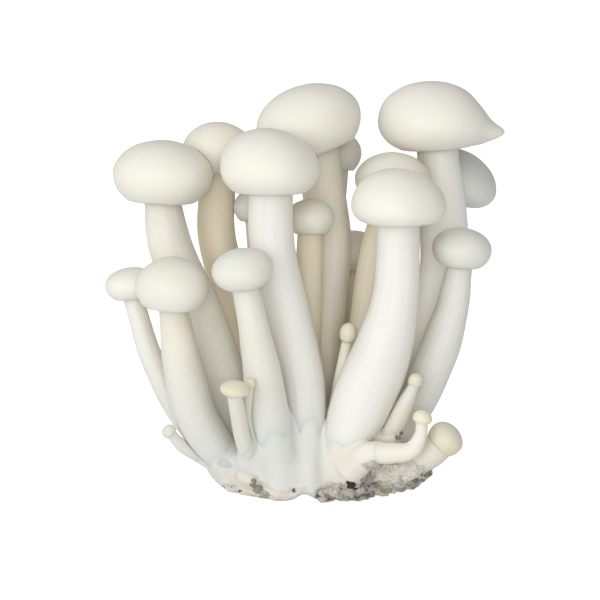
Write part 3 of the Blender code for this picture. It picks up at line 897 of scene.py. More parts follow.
def as_object(bm: bmesh.types.BMesh, name: str, finishes: list[bpy.types.Material]) -> bpy.types.Object:
    """A smooth-shaded object of this mesh, which rides on the bunch.

    Args:
        bm: the finished mesh, which is freed.
        name: the piece's name.
        finishes: its materials, in the order of their places.

    Returns:
        The new object, at the origin.
    """
    bmesh.ops.recalc_face_normals(bm, faces=bm.faces)
    mesh = new_mesh(bm, name)
    for finish in finishes:
        mesh.materials.append(finish)
    mesh.shade_smooth()
    piece = new_object(name, mesh)
    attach(piece, BODY)
    return piece


def fuse(bm: bmesh.types.BMesh, voxel: float) -> bmesh.types.BMesh:
    """One closed skin round bodies that overlap.

    Args:
        bm: the loose bodies, which are freed.
        voxel: the size of the new faces, in millimetres.

    Returns:
        The fused mesh.
    """
    mesh = new_mesh(bm, "fusing")
    lump = new_object("fusing", mesh)
    remesh = lump.modifiers.new("fuse", "REMESH")
    remesh.mode = "VOXEL"
    remesh.voxel_size = voxel * MM
    graph = bpy.context.evaluated_depsgraph_get()
    fused = bmesh.new()
    fused.from_object(lump, graph)
    bpy.data.objects.remove(lump, do_unlink=True)
    bpy.data.meshes.remove(mesh)
    return fused


def relax(bm: bmesh.types.BMesh, rounds: int) -> None:
    """Smooths every point a few times, which rounds creases into fillets."""
    for _ in range(rounds):
        bmesh.ops.smooth_vert(
            bm, verts=bm.verts, factor=0.5, use_axis_x=True, use_axis_y=True, use_axis_z=True
        )


@dataclass
class MushroomBuilder:
    """Builds the skin of one mushroom.

    Fields:
        growth: what to build.
        spacing: the step between two rings of the stem.
        gill_rings: rings across the gills.
        flank_rings: rings from the lower edge up to the cap's widest place.
        dome_rings: rings from there to the top.
        waver: how much the stem's radius wanders, as a share of it.
        ridge: height of the stem's long ridges.
        lobing: how far a cap is from round, as a share of its radius.
        dimple: depth of the cap's soft dimples.
        wave: height of the waves in the cap's edge, as a share of the cap's height.
    """

    growth: Growth
    spacing: float = 1.1
    gill_rings: int = 7
    flank_rings: int = 12
    dome_rings: int = 20
    waver: float = 0.035
    ridge: float = 0.06
    lobing: float = 0.014
    dimple: float = 0.12
    wave: float = 0.02
    seed: float = field(init=False)

    # The form that all caps share, as shares of a cap's radius or height
    GILL_SEAT = 0.10
    GILL_DEPTH = 0.16
    GILL_INNER = 1.02
    GILL_OUTER = 0.93
    GILL_SAG = (1.0, 0.7, 0.75)
    GILL_FADE = (1.0, 1.0, 0.45)
    LIP = ((0.953, 0.046), (0.968, 0.022), (0.984, 0.006))
    # Where a cap's edge begins, as a share of its radius
    EDGE_FROM = 0.45

    # The neck's depth in the cap, the length of neck without swellings, the lengths of a swelling
    # and of a ridge, the size of a dimple, and the lowest height of a root
    NECK_SINK = 0.2
    CALM_NECK = 4.0
    SWELLING = 8.0
    RIDGE = 28.0
    DIMPLE = 4.5
    ROOT_FLOOR = 4.0

    def __post_init__(self) -> None:
        """Gives each mushroom its own place in the noise."""
        self.seed = 11.0 * (1 + [g.name for g in GROWTHS].index(self.growth.name))

    def build(self) -> bmesh.types.BMesh:
        """Grows the whole skin.

        Returns:
            The closed mesh, in metres.
        """
        skin = Skin(self.growth.sides)
        turn = self._grow_stem(skin)
        self._grow_cap(skin, turn)
        skin.close_top()
        bmesh.ops.recalc_face_normals(skin.bm, faces=skin.bm.faces)
        return skin.bm

    def _grow_stem(self, skin: Skin) -> Quaternion:
        """Grows the stem, and returns the way that its last ring is turned."""
        rings = list(self.growth.rings(self.spacing))
        length = rings[-1][2]
        for centre, radius, along, turn in rings:
            calm = 1.0 - span(length - self.CALM_NECK, length, along)
            skin.add(self._stem_placer(centre, radius, along, turn, calm))
        return turn

    def _stem_placer(
        self, centre: Vector, radius: float, along: float, turn: Quaternion, calm: float
    ) -> Placer:
        """Places one ring of the stem, with its swellings and long ridges."""

        def place(angle: float, _: int) -> tuple[Vector, Vector]:
            round_ = round_way(angle)
            swell = self.waver * wander(round_ * 0.9 + UP * (along / self.SWELLING), 1.0, self.seed)
            ridge = self.ridge * wander(round_ * 6.5 + UP * (along / self.RIDGE), 1.0, self.seed + 5.0)
            reach = radius * (1 + swell * calm) + ridge * calm
            point = centre + turn @ (round_ * reach)
            point.z = max(point.z, self.ROOT_FLOOR)
            return point, round_ * radius + UP * along

        return place

    def _cap_rings(self, neck_radius: float) -> Iterator[tuple[float, float, float, Zone]]:
        """Radius, height, gill depth and zone of each of the cap's rings, from the neck over the top."""
        radius, height = self.growth.cap
        margin = self.growth.margin * radius
        widest = self.growth.equator * height
        if self.growth.habit is Habit.OPEN:
            inner, outer = neck_radius * self.GILL_INNER, self.GILL_OUTER * margin
            for ring in range(self.gill_rings):
                t = ring / (self.gill_rings - 1)
                rise = self.GILL_SEAT * height * through(*self.GILL_SAG, t)
                depth = self.GILL_DEPTH * height * through(*self.GILL_FADE, t)
                yield inner + (outer - inner) * t, rise, depth, Zone.GILLS
        for share, rise in self.LIP:
            yield share * margin, rise * height, 0.0, Zone.CAP
        low = math.acos(self.growth.margin)
        for ring in range(self.flank_rings):
            angle = low * (1 - ring / self.flank_rings)
            rise = widest * (1 - math.sin(angle) / math.sin(low))
            yield radius * math.cos(angle), rise, 0.0, Zone.CAP
        for ring in range(self.dome_rings):
            angle = math.pi / 2 * ring / (self.dome_rings - 0.5)
            rise = widest + (height - widest) * math.sin(angle)
            yield radius * math.cos(angle), rise, 0.0, Zone.CAP

    def _grow_cap(self, skin: Skin, turn: Quaternion) -> None:
        """Grows gills, lip and dome from the top of the stem."""
        axis = self.growth.axis
        turn = (turn @ UP).rotation_difference(axis) @ turn
        neck = Vector(self.growth.stem[-1][:3])
        neck_radius = self.growth.stem[-1][3]
        height = self.growth.cap[1]
        base = neck - axis * (self.GILL_SEAT * height - self.NECK_SINK)
        for radius, rise, depth, zone in self._cap_rings(neck_radius):
            skin.grow(self._cap_placer(base, turn, radius, rise, depth, zone), zone)

    def _cap_placer(
        self, base: Vector, turn: Quaternion, radius: float, rise: float, depth: float, zone: Zone
    ) -> Placer:
        """Places one ring of the cap, with its lobes, dimples, gills and outgrowth."""
        growth = self.growth
        full, height = growth.cap
        share = rise / height
        crown = Vector((*growth.crown, 0.0)) * share ** 2
        skirt = 1 + growth.skirt * (1 - share) if zone is Zone.CAP else 1.0
        edge = span(self.EDGE_FROM, 1.0, radius / full)

        def place(angle: float, index: int) -> tuple[Vector, Vector]:
            round_ = round_way(angle)
            lobe = self.lobing * wander(round_ * 1.1 + UP * share, 1.0, self.seed) * edge * 2
            wave = self.wave * height * wander(round_ * 1.4, 1.0, self.seed + 3.0) * edge * (1 - share)
            reach = radius * (1 + lobe) * skirt
            if zone is Zone.CAP:
                reach += sum(bulge.reach(math.degrees(angle), share) for bulge in growth.bulges)
            local = round_ * reach + UP * (wave + depth * (index % 2))
            point = base + crown + turn @ (local + UP * rise)
            if zone is Zone.CAP:
                out = (round_ * (radius / full) + UP * (share - 0.3)).normalized()
                point += turn @ out * (self.dimple * wander(point, self.DIMPLE, self.seed))
            return point, round_ * (radius / full) + UP * share

        return place


class Bunch:
    """All the mushrooms: their skins, how they press on each other, and their finishes."""

    # The gap between two skins, how deep one may have been in the other, and the height above
    # which they are separate
    CLEAR = 0.12
    DEEPEST = 3.0
    SINGLE_ABOVE = 10.0

    # How a point of the skin looks round: the rays, how much they keep to its normal, how far
    # they see and start off it, and how much beige shade is painted where all of them meet flesh
    RAYS = 10
    KEEPING = 1.02
    SIGHT = 22.0
    OFF_SKIN = 0.8
    GAP_SHADE = 0.45

    # The share of its warmth and shade that a cap shows, and what a stem loses down to its root
    CAP_SHARE = 0.45
    ROOT_LOSS = 0.75
    ROOT_HEIGHTS = (34.0, 12.0)

    # The same for a pin: the middle of its cap, its stem, and what the stem gains at its root
    PIN_MIDDLE = 0.25
    PIN_STEM = 0.8
    PIN_ROOT_GAIN = 0.6
    PIN_ROOT_HEIGHTS = (12.0, 7.5)

    def __init__(self, effects: Effects) -> None:
        """Builds the finishes that the mushrooms share."""
        self.open_finishes = [f.material(effects) for f in (CAP_SKIN, GILL_FLESH, STEM_FLESH)]
        self.pin_finishes = [f.material(effects) for f in (PIN_SKIN, PIN_FLESH, PIN_FLESH)]
        self.solids = self._solids()
        self.rays = self._ray_set()

    @staticmethod
    def _solids() -> BVHTree:
        """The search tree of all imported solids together."""
        bm = bmesh.new()
        for node in frame["nodes"].values():
            bm.from_mesh(node.data)
        tree = BVHTree.FromBMesh(bm)
        bm.free()
        return tree

    def _ray_set(self) -> list[Vector]:
        """Directions spread evenly over a ball."""
        golden = math.pi * (3 - math.sqrt(5))
        rays = []
        for i in range(self.RAYS):
            z = 1 - 2 * (i + 0.5) / self.RAYS
            flat = math.sqrt(1 - z * z)
            rays.append(Vector((flat * math.cos(golden * i), flat * math.sin(golden * i), z)))
        return rays

    def enclosure(self, point: Vector, normal: Vector) -> float:
        """How much of what a point of the skin sees is other flesh, from 0 to 1."""
        start = point + normal * (self.OFF_SKIN * MM)
        hits = 0
        for ray in self.rays:
            way = (normal * self.KEEPING + ray).normalized()
            if self.solids.ray_cast(start, way, self.SIGHT * MM)[0] is not None:
                hits += 1
        return hits / self.RAYS

    def painted_gap_shade(self, vert: bmesh.types.BMVert) -> float:
        """How much beige shade is painted on a point for standing deep inside the bunch."""
        return self.GAP_SHADE * self.enclosure(vert.co, vert.normal) ** 2

    def give_way(self, bm: bmesh.types.BMesh, others: list[tuple[BVHTree, Vector, Vector]]) -> None:
        """Presses a skin flat where it would enter one that stands before it.

        Args:
            bm: the skin to press.
            others: the search tree, lowest corner and highest corner of each skin before it.
        """
        deepest = self.DEEPEST * MM
        clear = self.CLEAR * MM
        for vert in bm.verts:
            if vert.co.z < self.SINGLE_ABOVE * MM:
                continue
            for tree, low, high in others:
                if any(vert.co[i] < low[i] or vert.co[i] > high[i] for i in range(3)):
                    continue
                near, normal, _, _ = tree.find_nearest(vert.co, deepest)
                if near is not None and (vert.co - near).dot(normal) < clear:
                    vert.co = near + normal * clear

    def build(self) -> None:
        """Builds every mushroom, front ones first."""
        before = []
        for growth in GROWTHS:
            bm = MushroomBuilder(growth).build()
            self.give_way(bm, before)
            bm.normal_update()
            corners = [[f(v.co[i] for v in bm.verts) for i in range(3)] for f in (min, max)]
            before.append((BVHTree.FromBMesh(bm), Vector(corners[0]), Vector(corners[1])))
            self._tint(bm, growth)
            bm.verts.layers.int.remove(bm.verts.layers.int["meridian"])
            pin = growth.habit is Habit.PIN
            piece = as_object(bm, growth.name + "_skin", self.pin_finishes if pin else self.open_finishes)
            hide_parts(growth.name)
            log.info("%s: %d faces", piece.name, len(piece.data.polygons))

    def _tint(self, bm: bmesh.types.BMesh, growth: Growth) -> None:
        """Writes how beige and how grey each point is: the mushroom's own tone with its painted shade, and
        more beige shade painted inside the bunch.
        """
        warmth, ashen_and_shade = values(bm, "warmth", "ashen")
        for vert in bm.verts:
            point = vert.co / MM
            # The grey is the foot's ashen tone or the mushroom's painted grey shade, whichever is more
            vert[ashen_and_shade] = max(ashen(point), growth.painted_shade)
            on_cap = vert.link_faces[0].material_index == Zone.CAP.value
            if growth.habit is Habit.PIN and on_cap:
                off = point - Vector(growth.stem[-1][:3])
                rim = (off - growth.axis * off.dot(growth.axis)).length / growth.cap[0]
                share = self.PIN_MIDDLE + (1 - self.PIN_MIDDLE) * min(1.0, rim) ** 2
            elif growth.habit is Habit.PIN:
                share = self.PIN_STEM + self.PIN_ROOT_GAIN * span(*self.PIN_ROOT_HEIGHTS, point.z)
            elif on_cap:
                share = self.CAP_SHARE
            else:
                share = 1 - self.ROOT_LOSS * span(*self.ROOT_HEIGHTS, point.z)
            vert[warmth] = growth.warmth * share + self.painted_gap_shade(vert)


@dataclass(frozen=True)
class Fold:
    """A crease in the foot's front.

    Fields: its two ends, each to the right and up, its half width and its depth.
    """

    start: tuple[float, float]
    end: tuple[float, float]
    width: float
    depth: float

    def sink(self, point: Vector) -> float:
        """How far it draws in a point of the foot."""
        first, last, flat = Vector(self.start), Vector(self.end), Vector((point.x, point.z))
        along = last - first
        t = min(1.0, max(0.0, (flat - first).dot(along) / along.length_squared))
        off = (flat - first.lerp(last, t)).length / self.width
        return self.depth * math.exp(-off * off) * span(-2.0, -8.0, point.y)


@dataclass
class Foot:
    """The foot that all stems grow from, with a collar of the same flesh up each of them.

    Fields:
        half_width: half the width of its ellipse.
        half_depth: half the depth of its ellipse.
        levels: heights, each with its share of the widest outline.
        lobes: direction, half width in degrees and push of each lobe of the outline.
        sides: faces round it.
        collar_sides: faces round a collar.
        lowest: lowest height of a collar.
        lump: height of its lumps.
        lump_size: size of its lumps.
        lump_rise: how much of a lump goes upwards.
        collar: how much wider than the stem a collar starts, on the thickest stems.
        crease: depth and half width of the creases between neighbouring stems.
        crease_rise: the heights at which a crease starts and has its full depth.
        sink: how deep a collar lies under the stem's skin at its end.
        parting: how much deeper the collars sink there, so that the stems part softly.
        swell: how much wider the collars of thin stems are, because smoothing makes them thinner.
        voxel: size of the finished faces.
        rounds: how often the creases are smoothed.
        felt: height of the felt's tufts.
        folds: the creases in its front.
        stains: places of brown stains, each a point and a radius.
        creamy: places where the flesh is cream, each a point and a radius.
        notch: place to the right, half width and height of the notch in the front edge.
    """

    half_width: float = 27.5
    half_depth: float = 18.5
    levels: tuple = (
        (0.0, 0.80), (0.9, 0.84), (1.8, 0.88), (3.2, 0.93), (4.6, 0.96), (6.3, 0.99), (8.0, 1.0),
        (9.4, 0.98), (10.8, 0.93), (11.8, 0.85), (12.8, 0.72), (13.4, 0.55), (13.8, 0.36),
    )
    lobes: tuple = (
        (-166, 16, 1.2), (-121, 9, 2.2), (-106, 7, -1.0), (-78, 13, -2.6), (-33, 20, -6.5),
        (35, 16, 1.2), (70, 12, -1.0), (105, 16, 1.5), (150, 14, -1.2),
    )
    sides: int = 120
    collar_sides: int = 28
    lowest: float = 1.0
    lump: float = 1.1
    lump_size: float = 7.0
    lump_rise: float = 0.5
    collar: float = 1.2
    crease: tuple = (0.55, 1.8)
    crease_rise: tuple = (1.0, 9.0)
    sink: float = 0.15
    parting: float = 1.3
    swell: float = 0.9
    voxel: float = 0.45
    rounds: int = 30
    felt: float = 0.22
    folds: tuple[Fold, ...] = (
        Fold((-22.5, 8.6), (-15.2, 6.0), 1.1, 0.7), Fold((-15.2, 6.0), (-11.6, 2.6), 1.0, 0.6),
        Fold((-11.0, 2.4), (-6.0, 2.2), 0.8, 0.4),
    )
    stains: tuple = (((-20.0, -12.0, 5.0), 5.0), ((-15.5, -14.5, 3.6), 3.6), ((-9.0, -17.0, 1.0), 2.6))
    creamy: tuple = (((11.5, -14.5, 11.0), 7.5), ((-15.0, -13.0, 7.0), 3.2))
    notch: tuple = (-3.2, 1.9, 1.5)

    # The step between two rings of a collar, the radius of a stem that has a full one, the share
    # of its length from which it parts, the radii between which it swells, and until which share
    STEP = 1.2
    FULL_RADIUS = 4.5
    PARTS_FROM = 0.55
    SWELLING_RADII = (4.2, 2.4)
    SWELLS_UNTIL = 0.4

    # Heights: up to which stems have creases, below which the foot lies flat, and over which the
    # felt, the low edge's stain and the notch fade and the painted beige shade of the bunch's inside comes
    CREASES_BELOW = 24.0
    FLAT_BELOW = 0.35
    FELT_HEIGHTS = (1.0, 7.0)
    EDGE_HEIGHTS = (0.2, 2.5)
    NOTCH_HEIGHTS = (0.0, 5.0)
    GAP_SHADE_HEIGHTS = (4.0, 14.0)

    # Shares of the low edge, the places and the wandering in the stains, and of an even tone,
    # large and small clouds and the creamy places in the warmth
    STAIN_SHARES = (0.36, 0.55, 0.16)
    WARMTH_SHARES = (0.16, 0.30, 0.10, 0.75)

    def outline(self, angle: float) -> float:
        """Distance of the widest outline from the middle, in this direction."""
        flat = math.hypot(self.half_depth * math.cos(angle), self.half_width * math.sin(angle))
        radius = self.half_width * self.half_depth / flat
        for direction, width, push in self.lobes:
            turn = (math.degrees(angle) - direction + 180.0) % 360.0 - 180.0
            radius += push * math.exp(-((turn / width) ** 2))
        return radius

    def _placer(self, level: float, share: float) -> Placer:
        """Places one ring of the foot."""

        def place(angle: float, _: int) -> tuple[Vector, Vector]:
            away = round_way(angle)
            point = away * self.outline(angle) * share + UP * level
            lump = self.lump * wander(point, self.lump_size, SEED)
            point += away * lump
            point.z += lump * self.lump_rise if level else 0.0
            return point, Vector()

        return place

    def _collar(self, bm: bmesh.types.BMesh, growth: Growth) -> None:
        """Adds the collar of one stem, as a closed tube."""
        tube = Skin(self.collar_sides, bm)
        for centre, radius, along, turn in growth.rings(self.STEP, growth.merge):
            t = along / growth.merge
            slip = self.sink * t + self.parting * span(self.PARTS_FROM, 1.0, t)
            slip -= self.swell * span(*self.SWELLING_RADII, radius) * (1 - span(self.SWELLS_UNTIL, 1.0, t))
            wide = radius + self.collar * min(1.0, radius / self.FULL_RADIUS) * (1 - t) ** 2 - slip

            def place(angle: float, _: int, c=centre, q=turn, r=wide) -> tuple[Vector, Vector]:
                point = c + q @ (round_way(angle) * r)
                point.z = max(point.z, self.lowest)
                return point, Vector()

            tube.add(place)
        tube.close_top()

    def build(self, finish: bpy.types.Material, bunch: Bunch) -> bpy.types.Object:
        """Builds the foot and its collars as one body.

        Args:
            finish: its material.
            bunch: the mushrooms that stand on it.

        Returns:
            The finished piece.
        """
        skin = Skin(self.sides)
        for level, share in self.levels:
            skin.add(self._placer(level, share))
        skin.close_top()
        for growth in GROWTHS:
            self._collar(skin.bm, growth)
        for face in skin.bm.faces:
            face.material_index = 0
        bmesh.ops.recalc_face_normals(skin.bm, faces=skin.bm.faces)
        bm = fuse(skin.bm, self.voxel)
        relax(bm, self.rounds)
        bm.normal_update()
        self._crease(bm)
        relax(bm, 2)
        bm.normal_update()
        self._dress(bm, bunch)
        piece = as_object(bm, "foot_felt", [finish])
        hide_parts("foot")
        return piece

    def _crease(self, bm: bmesh.types.BMesh) -> None:
        """Draws the skin in between neighbouring stems, so that their creases run on down it."""
        depth, width = self.crease
        stems = []
        for growth in GROWTHS:
            path = [place for place in growth.path(1.0) if place[2] <= self.CREASES_BELOW]
            tree = KDTree(len(path))
            for index, (centre, _, _) in enumerate(path):
                tree.insert(centre, index)
            tree.balance()
            stems.append((tree, path))
        for vert in bm.verts:
            point = vert.co / MM
            gaps = []
            for tree, path in stems:
                _, index, far = tree.find(point)
                gaps.append(far - path[index][1])
            nearest, second = sorted(gaps)[:2]
            drawn = span(*self.crease_rise, point.z) * math.exp(-(((second - nearest) / width) ** 2))
            vert.co -= vert.normal * (depth * drawn * MM)

    def _dress(self, bm: bmesh.types.BMesh, bunch: Bunch) -> None:
        """Raises the felt, flattens the underside and writes where felt and stains are."""
        felted, stained, warmth, ashen_and_shade = values(bm, "felted", "stained", "warmth", "ashen")
        at_edge, at_place, at_random = self.STAIN_SHARES
        even, large, small, creamy = self.WARMTH_SHARES
        for vert in bm.verts:
            point = vert.co / MM
            vert[ashen_and_shade] = ashen(point)
            low = 1 - span(*self.FELT_HEIGHTS, point.z)
            tuft = wander(point, 1.7, 3.0) + 0.6 * wander(point, 0.8, 5.0)
            drawn = sum(fold.sink(point) for fold in self.folds)
            vert.co += vert.normal * ((self.felt * tuft * low - drawn) * MM)
            if vert.co.z < self.FLAT_BELOW * MM:
                vert.co.z = 0.0
            vert[felted] = low
            across, width, height = self.notch
            bite = height * math.exp(-(((point.x - across) / width) ** 2)) * span(-8.0, -12.0, point.y)
            vert.co.z += bite * MM * (1 - span(*self.NOTCH_HEIGHTS, point.z))
            edge = 1 - span(*self.EDGE_HEIGHTS, point.z)
            patch = at_place * blot(point, self.stains, 4)
            vert[stained] = at_edge * edge + patch + at_random * wander(point, 2.0, 9.0) * low
            mottle = even + large * wander(point, 7.0, 11.0) + small * wander(point, 2.5, 12.0)
            # Beige shade painted where the foot stands deep inside the bunch, coming in with height
            inner = bunch.painted_gap_shade(vert) * span(*self.GAP_SHADE_HEIGHTS, point.z)
            vert[warmth] = max(0.0, mottle) + inner + creamy * blot(point, self.creamy, 2)


@dataclass
class GrowingMedium:
    """The crust and the large lump that cling to the foot.

    Fields: the size of its faces, how often they are smoothed, the height of its grains, the
    depth of its cracks, the width of the clods between them, and the place of the pale lump,
    which is its middle and its radius.
    """

    voxel: float = 0.36
    rounds: int = 2
    grain: float = 0.45
    crack: float = 0.5
    clod: float = 2.6
    lump: tuple = (((19.3, -8.0, 6.5), 9.5),)

    def build(self, finish: bpy.types.Material) -> bpy.types.Object:
        """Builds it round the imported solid.

        Args:
            finish: its material.

        Returns:
            The finished piece.
        """
        loose = bmesh.new()
        loose.from_mesh(frame["nodes"]["growing_medium"].data)
        bmesh.ops.remove_doubles(loose, verts=loose.verts, dist=0.01 * MM)
        bm = fuse(loose, self.voxel)
        relax(bm, self.rounds)
        bm.normal_update()
        tone, felted = values(bm, "tone", "felted")
        for vert in bm.verts:
            point = vert.co / MM
            reach, _ = noise.voronoi(point / self.clod)
            crack = 1 - span(0.0, 0.22, reach[1] - reach[0])
            lump = wander(point, 1.9, 2.0) + 0.6 * wander(point, 0.9, 4.0)
            vert.co += vert.normal * (MM * (self.grain * lump - self.crack * crack))
            vert.co.z = max(vert.co.z, 0.0)
            # Darker along the cracks: painted shade where the crust sinks in, with a random tone on top
            vert[tone] = 0.45 + 0.5 * crack + 0.3 * wander(point, 3.0, 6.0)
            vert[felted] = 0.75 * blot(point, self.lump, 4) + 0.3 * wander(point, 5.0, 8.0) + 0.1
        piece = as_object(bm, "growing_medium_crust", [finish])
        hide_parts("growing_medium")
        return piece


@dataclass(frozen=True)
class Viewpoint:
    """Where the bunch is seen from, as in the photograph.

    Fields: the point looked at, the height angle, the distance in metres, the lens and its
    sensor, and the frame's width in pixels.
    """

    aim: tuple[float, float, float] = (-0.0043, 0.0, 0.0459)
    elevation: float = 10.0
    distance: float = 0.60
    lens: float = 150.0
    sensor: float = 36.0
    frame: float = 600.0

    @property
    def back(self) -> Vector:
        """The way from the bunch to the camera."""
        angle = math.radians(self.elevation)
        return Vector((0.0, -math.cos(angle), math.sin(angle)))

    @property
    def position(self) -> Vector:
        """Where the camera stands."""
        return Vector(self.aim) + self.back * self.distance

    def through(self, across: float, down: float) -> Vector:
        """The direction from the camera through a pixel of the frame."""
        right = Vector((1.0, 0.0, 0.0))
        up = self.back.cross(right)
        size = self.sensor / self.lens / self.frame
        middle = self.frame / 2
        return (right * (across - middle) * size - up * (down - middle) * size - self.back).normalized()

    def camera(self) -> bpy.types.Object:
        """Makes the camera."""
        data = bpy.data.cameras.new("view")
        data.lens = self.lens
        data.sensor_width = self.sensor
        data.clip_start = 0.01
        made = new_object("view", data)
        made.location = self.position
        made.rotation_euler = (-self.back).to_track_quat("-Z", "Y").to_euler()
        return made


@dataclass(frozen=True)
class Litter:
    """A cluster of crumbs.

    Fields: its middle in the frame's pixels, half its width and half its height, how many
    crumbs it has, their size, how dark, how grown over and how olive they are.
    """

    across: float
    down: float
    wide: float
    high: float
    count: int
    size: float
    tone: float
    felted: float = 0.0
    olive: float = 0.0


@dataclass
class Crumb:
    """One crumb: its middle, radius, darkness, and how grown over and how olive it is."""

    middle: Vector
    size: float
    tone: float
    felted: float
    olive: float


class Crumbs:
    """Crumbs of growing medium that stick to the foot and to the crust, fused where they touch."""

    LITTER = (
        Litter(341, 489, 18, 7, 60, 0.62, 0.45, 0.35),
        Litter(334, 494, 14, 4, 30, 0.50, 0.60, 0.25),
        # These two clusters of near-black crumbs are painted shade: they fill the dark hole of a cavity at
        # the foot's low edge
        Litter(350.5, 484, 2.4, 2.2, 22, 0.90, 3.0),
        Litter(355, 488, 2.0, 1.2, 8, 0.60, 2.4),
        Litter(388, 473, 18, 8, 110, 0.62, 0.40, 0.50),
        Litter(412, 468, 14, 8, 90, 0.62, 0.40, 0.50),
        Litter(372, 466, 8, 4, 24, 0.70, 0.50, 0.45),
        Litter(396, 484, 24, 4, 50, 0.55, 0.55, 0.40),
        Litter(419, 480, 6, 2, 20, 0.40, 0.80, 0.15, 0.2),
        Litter(426, 474, 6, 2, 20, 0.40, 0.80, 0.15, 0.2),
        Litter(431, 468, 3, 3, 16, 0.45, 0.70, 0.20),
        Litter(379, 484, 5, 4, 18, 0.50, 0.75, 0.0, 1.0),
        Litter(386, 488, 6, 2.5, 14, 0.45, 0.65, 0.1, 0.8),
        Litter(407, 431, 7, 4, 24, 0.50, 1.05, 0.05, 0.3),
        Litter(398, 437, 3, 3, 8, 0.40, 0.85, 0.10, 0.2),
        Litter(432, 411, 3, 7, 16, 0.50, 0.90, 0.10, 0.2),
        Litter(229, 486, 8, 1.2, 26, 0.15, 0.65, 0.2),
        Litter(240, 491, 5, 1.5, 16, 0.22, 1.00, 0.1),
        Litter(253, 483, 3, 4, 26, 0.34, 0.95, 0.05, 0.5),
        Litter(258, 489, 5, 4, 50, 0.36, 0.80, 0.20, 0.4),
        Litter(264, 495, 6, 4, 50, 0.34, 0.60, 0.30, 0.25),
        Litter(294, 490, 1.6, 1.6, 7, 0.40, 1.15, 0.0, 0.3),
    )

    # How much the crumbs of a cluster differ in size and tone, and the highest place of any
    SPREAD = (0.55, 1.35)
    TONE_SPREAD = (-0.2, 0.2)
    HIGHEST = 30.0

    # Crumbs all round the crust: how many, between which angles, from how far off they are
    # thrown, and their heights, radii and tones
    ROUND = 150
    AROUND = (-60.0, 125.0)
    FROM = 80.0
    HEIGHTS = (0.3, 6.0)
    SIZES = (0.3, 0.9)
    TONES = (0.2, 0.9)

    # The stretch of a crumb, the size of its faces, and the height of its relief, with the share
    # and size of its fine and its coarse grain, which is drawn out upwards
    STRETCH = (0.7, 1.3)
    VOXEL = 0.17
    ROUGH = 0.13
    FINE = (1.6, 0.55)
    COARSE = (2.2, 1.2)
    DRAWN_OUT = 0.4

    def __init__(self, view: Viewpoint, carriers: list[bpy.types.Object]) -> None:
        """Takes the view that places the clusters, and the pieces that carry them."""
        self.view = view
        bm = bmesh.new()
        for carrier in carriers:
            bm.from_mesh(carrier.data)
        self.tree = BVHTree.FromBMesh(bm)
        bm.free()
        self.draw = random.Random(SEED)

    def _scattered(self) -> Iterator[Crumb]:
        """The crumbs of every cluster, and those all round the crust."""
        for litter in self.LITTER:
            for _ in range(litter.count):
                turn = self.draw.uniform(0.0, 2 * math.pi)
                reach = math.sqrt(self.draw.random())
                across = litter.across + litter.wide * reach * math.cos(turn)
                down = litter.down + litter.high * reach * math.sin(turn)
                hit = self.tree.ray_cast(self.view.position, self.view.through(across, down))
                size = litter.size * self.draw.uniform(*self.SPREAD)
                tone = litter.tone + self.draw.uniform(*self.TONE_SPREAD)
                if hit[0] is not None and hit[0].z < self.HIGHEST * MM:
                    yield Crumb(hit[0] / MM, size, tone, litter.felted, litter.olive)
        for _ in range(self.ROUND):
            angle = math.radians(self.draw.uniform(*self.AROUND))
            height = self.draw.uniform(*self.HEIGHTS)
            away = round_way(angle)
            hit = self.tree.ray_cast(away * self.FROM * MM + UP * height * MM, -away)
            size, tone = self.draw.uniform(*self.SIZES), self.draw.uniform(*self.TONES)
            if hit[0] is not None:
                yield Crumb(hit[0] / MM, size, tone, self.draw.uniform(0.0, 0.5), 0.0)

    def build(self, finish: bpy.types.Material) -> bpy.types.Object:
        """Builds all crumbs as one piece.

        Args:
            finish: their material.

        Returns:
            The finished piece.
        """
        crumbs = list(self._scattered())
        loose = bmesh.new()
        for crumb in crumbs:
            turn = Quaternion([self.draw.uniform(-1, 1) for _ in range(4)]).normalized()
            stretch = Matrix.Diagonal([self.draw.uniform(*self.STRETCH) for _ in range(3)])
            matrix = Matrix.Translation(crumb.middle * MM) @ (turn.to_matrix() @ stretch).to_4x4()
            bmesh.ops.create_icosphere(loose, subdivisions=2, radius=crumb.size * MM, matrix=matrix)
        bm = fuse(loose, self.VOXEL)
        relax(bm, 2)
        bm.normal_update()
        self._roughen(bm, crumbs)
        piece = as_object(bm, "medium_crumbs", [finish])
        return piece

    def _roughen(self, bm: bmesh.types.BMesh, crumbs: list[Crumb]) -> None:
        """Makes the crumbs rough and cracked, and writes the tone of the nearest one on each point."""
        tree = KDTree(len(crumbs))
        for index, crumb in enumerate(crumbs):
            tree.insert(crumb.middle, index)
        tree.balance()
        tone, felted, olive = values(bm, "tone", "felted", "olive")
        for vert in bm.verts:
            point = vert.co / MM
            upright = Vector((point.x, point.y, point.z * self.DRAWN_OUT))
            fine, fine_size = self.FINE
            coarse, coarse_size = self.COARSE
            rough = fine * wander(point, fine_size, 1.0) + coarse * wander(upright, coarse_size, 2.0)
            vert.co += vert.normal * (self.ROUGH * rough * MM)
            vert.co.z = max(vert.co.z, 0.0)
            crumb = crumbs[tree.find(point)[1]]
            vert[tone], vert[felted], vert[olive] = crumb.tone, crumb.felted, crumb.olive


@dataclass(frozen=True)
class Lamp:
    """A soft area light: where it stands, its width, both in metres, and its watts."""

    name: str
    place: tuple[float, float, float]
    width: float
    power: float


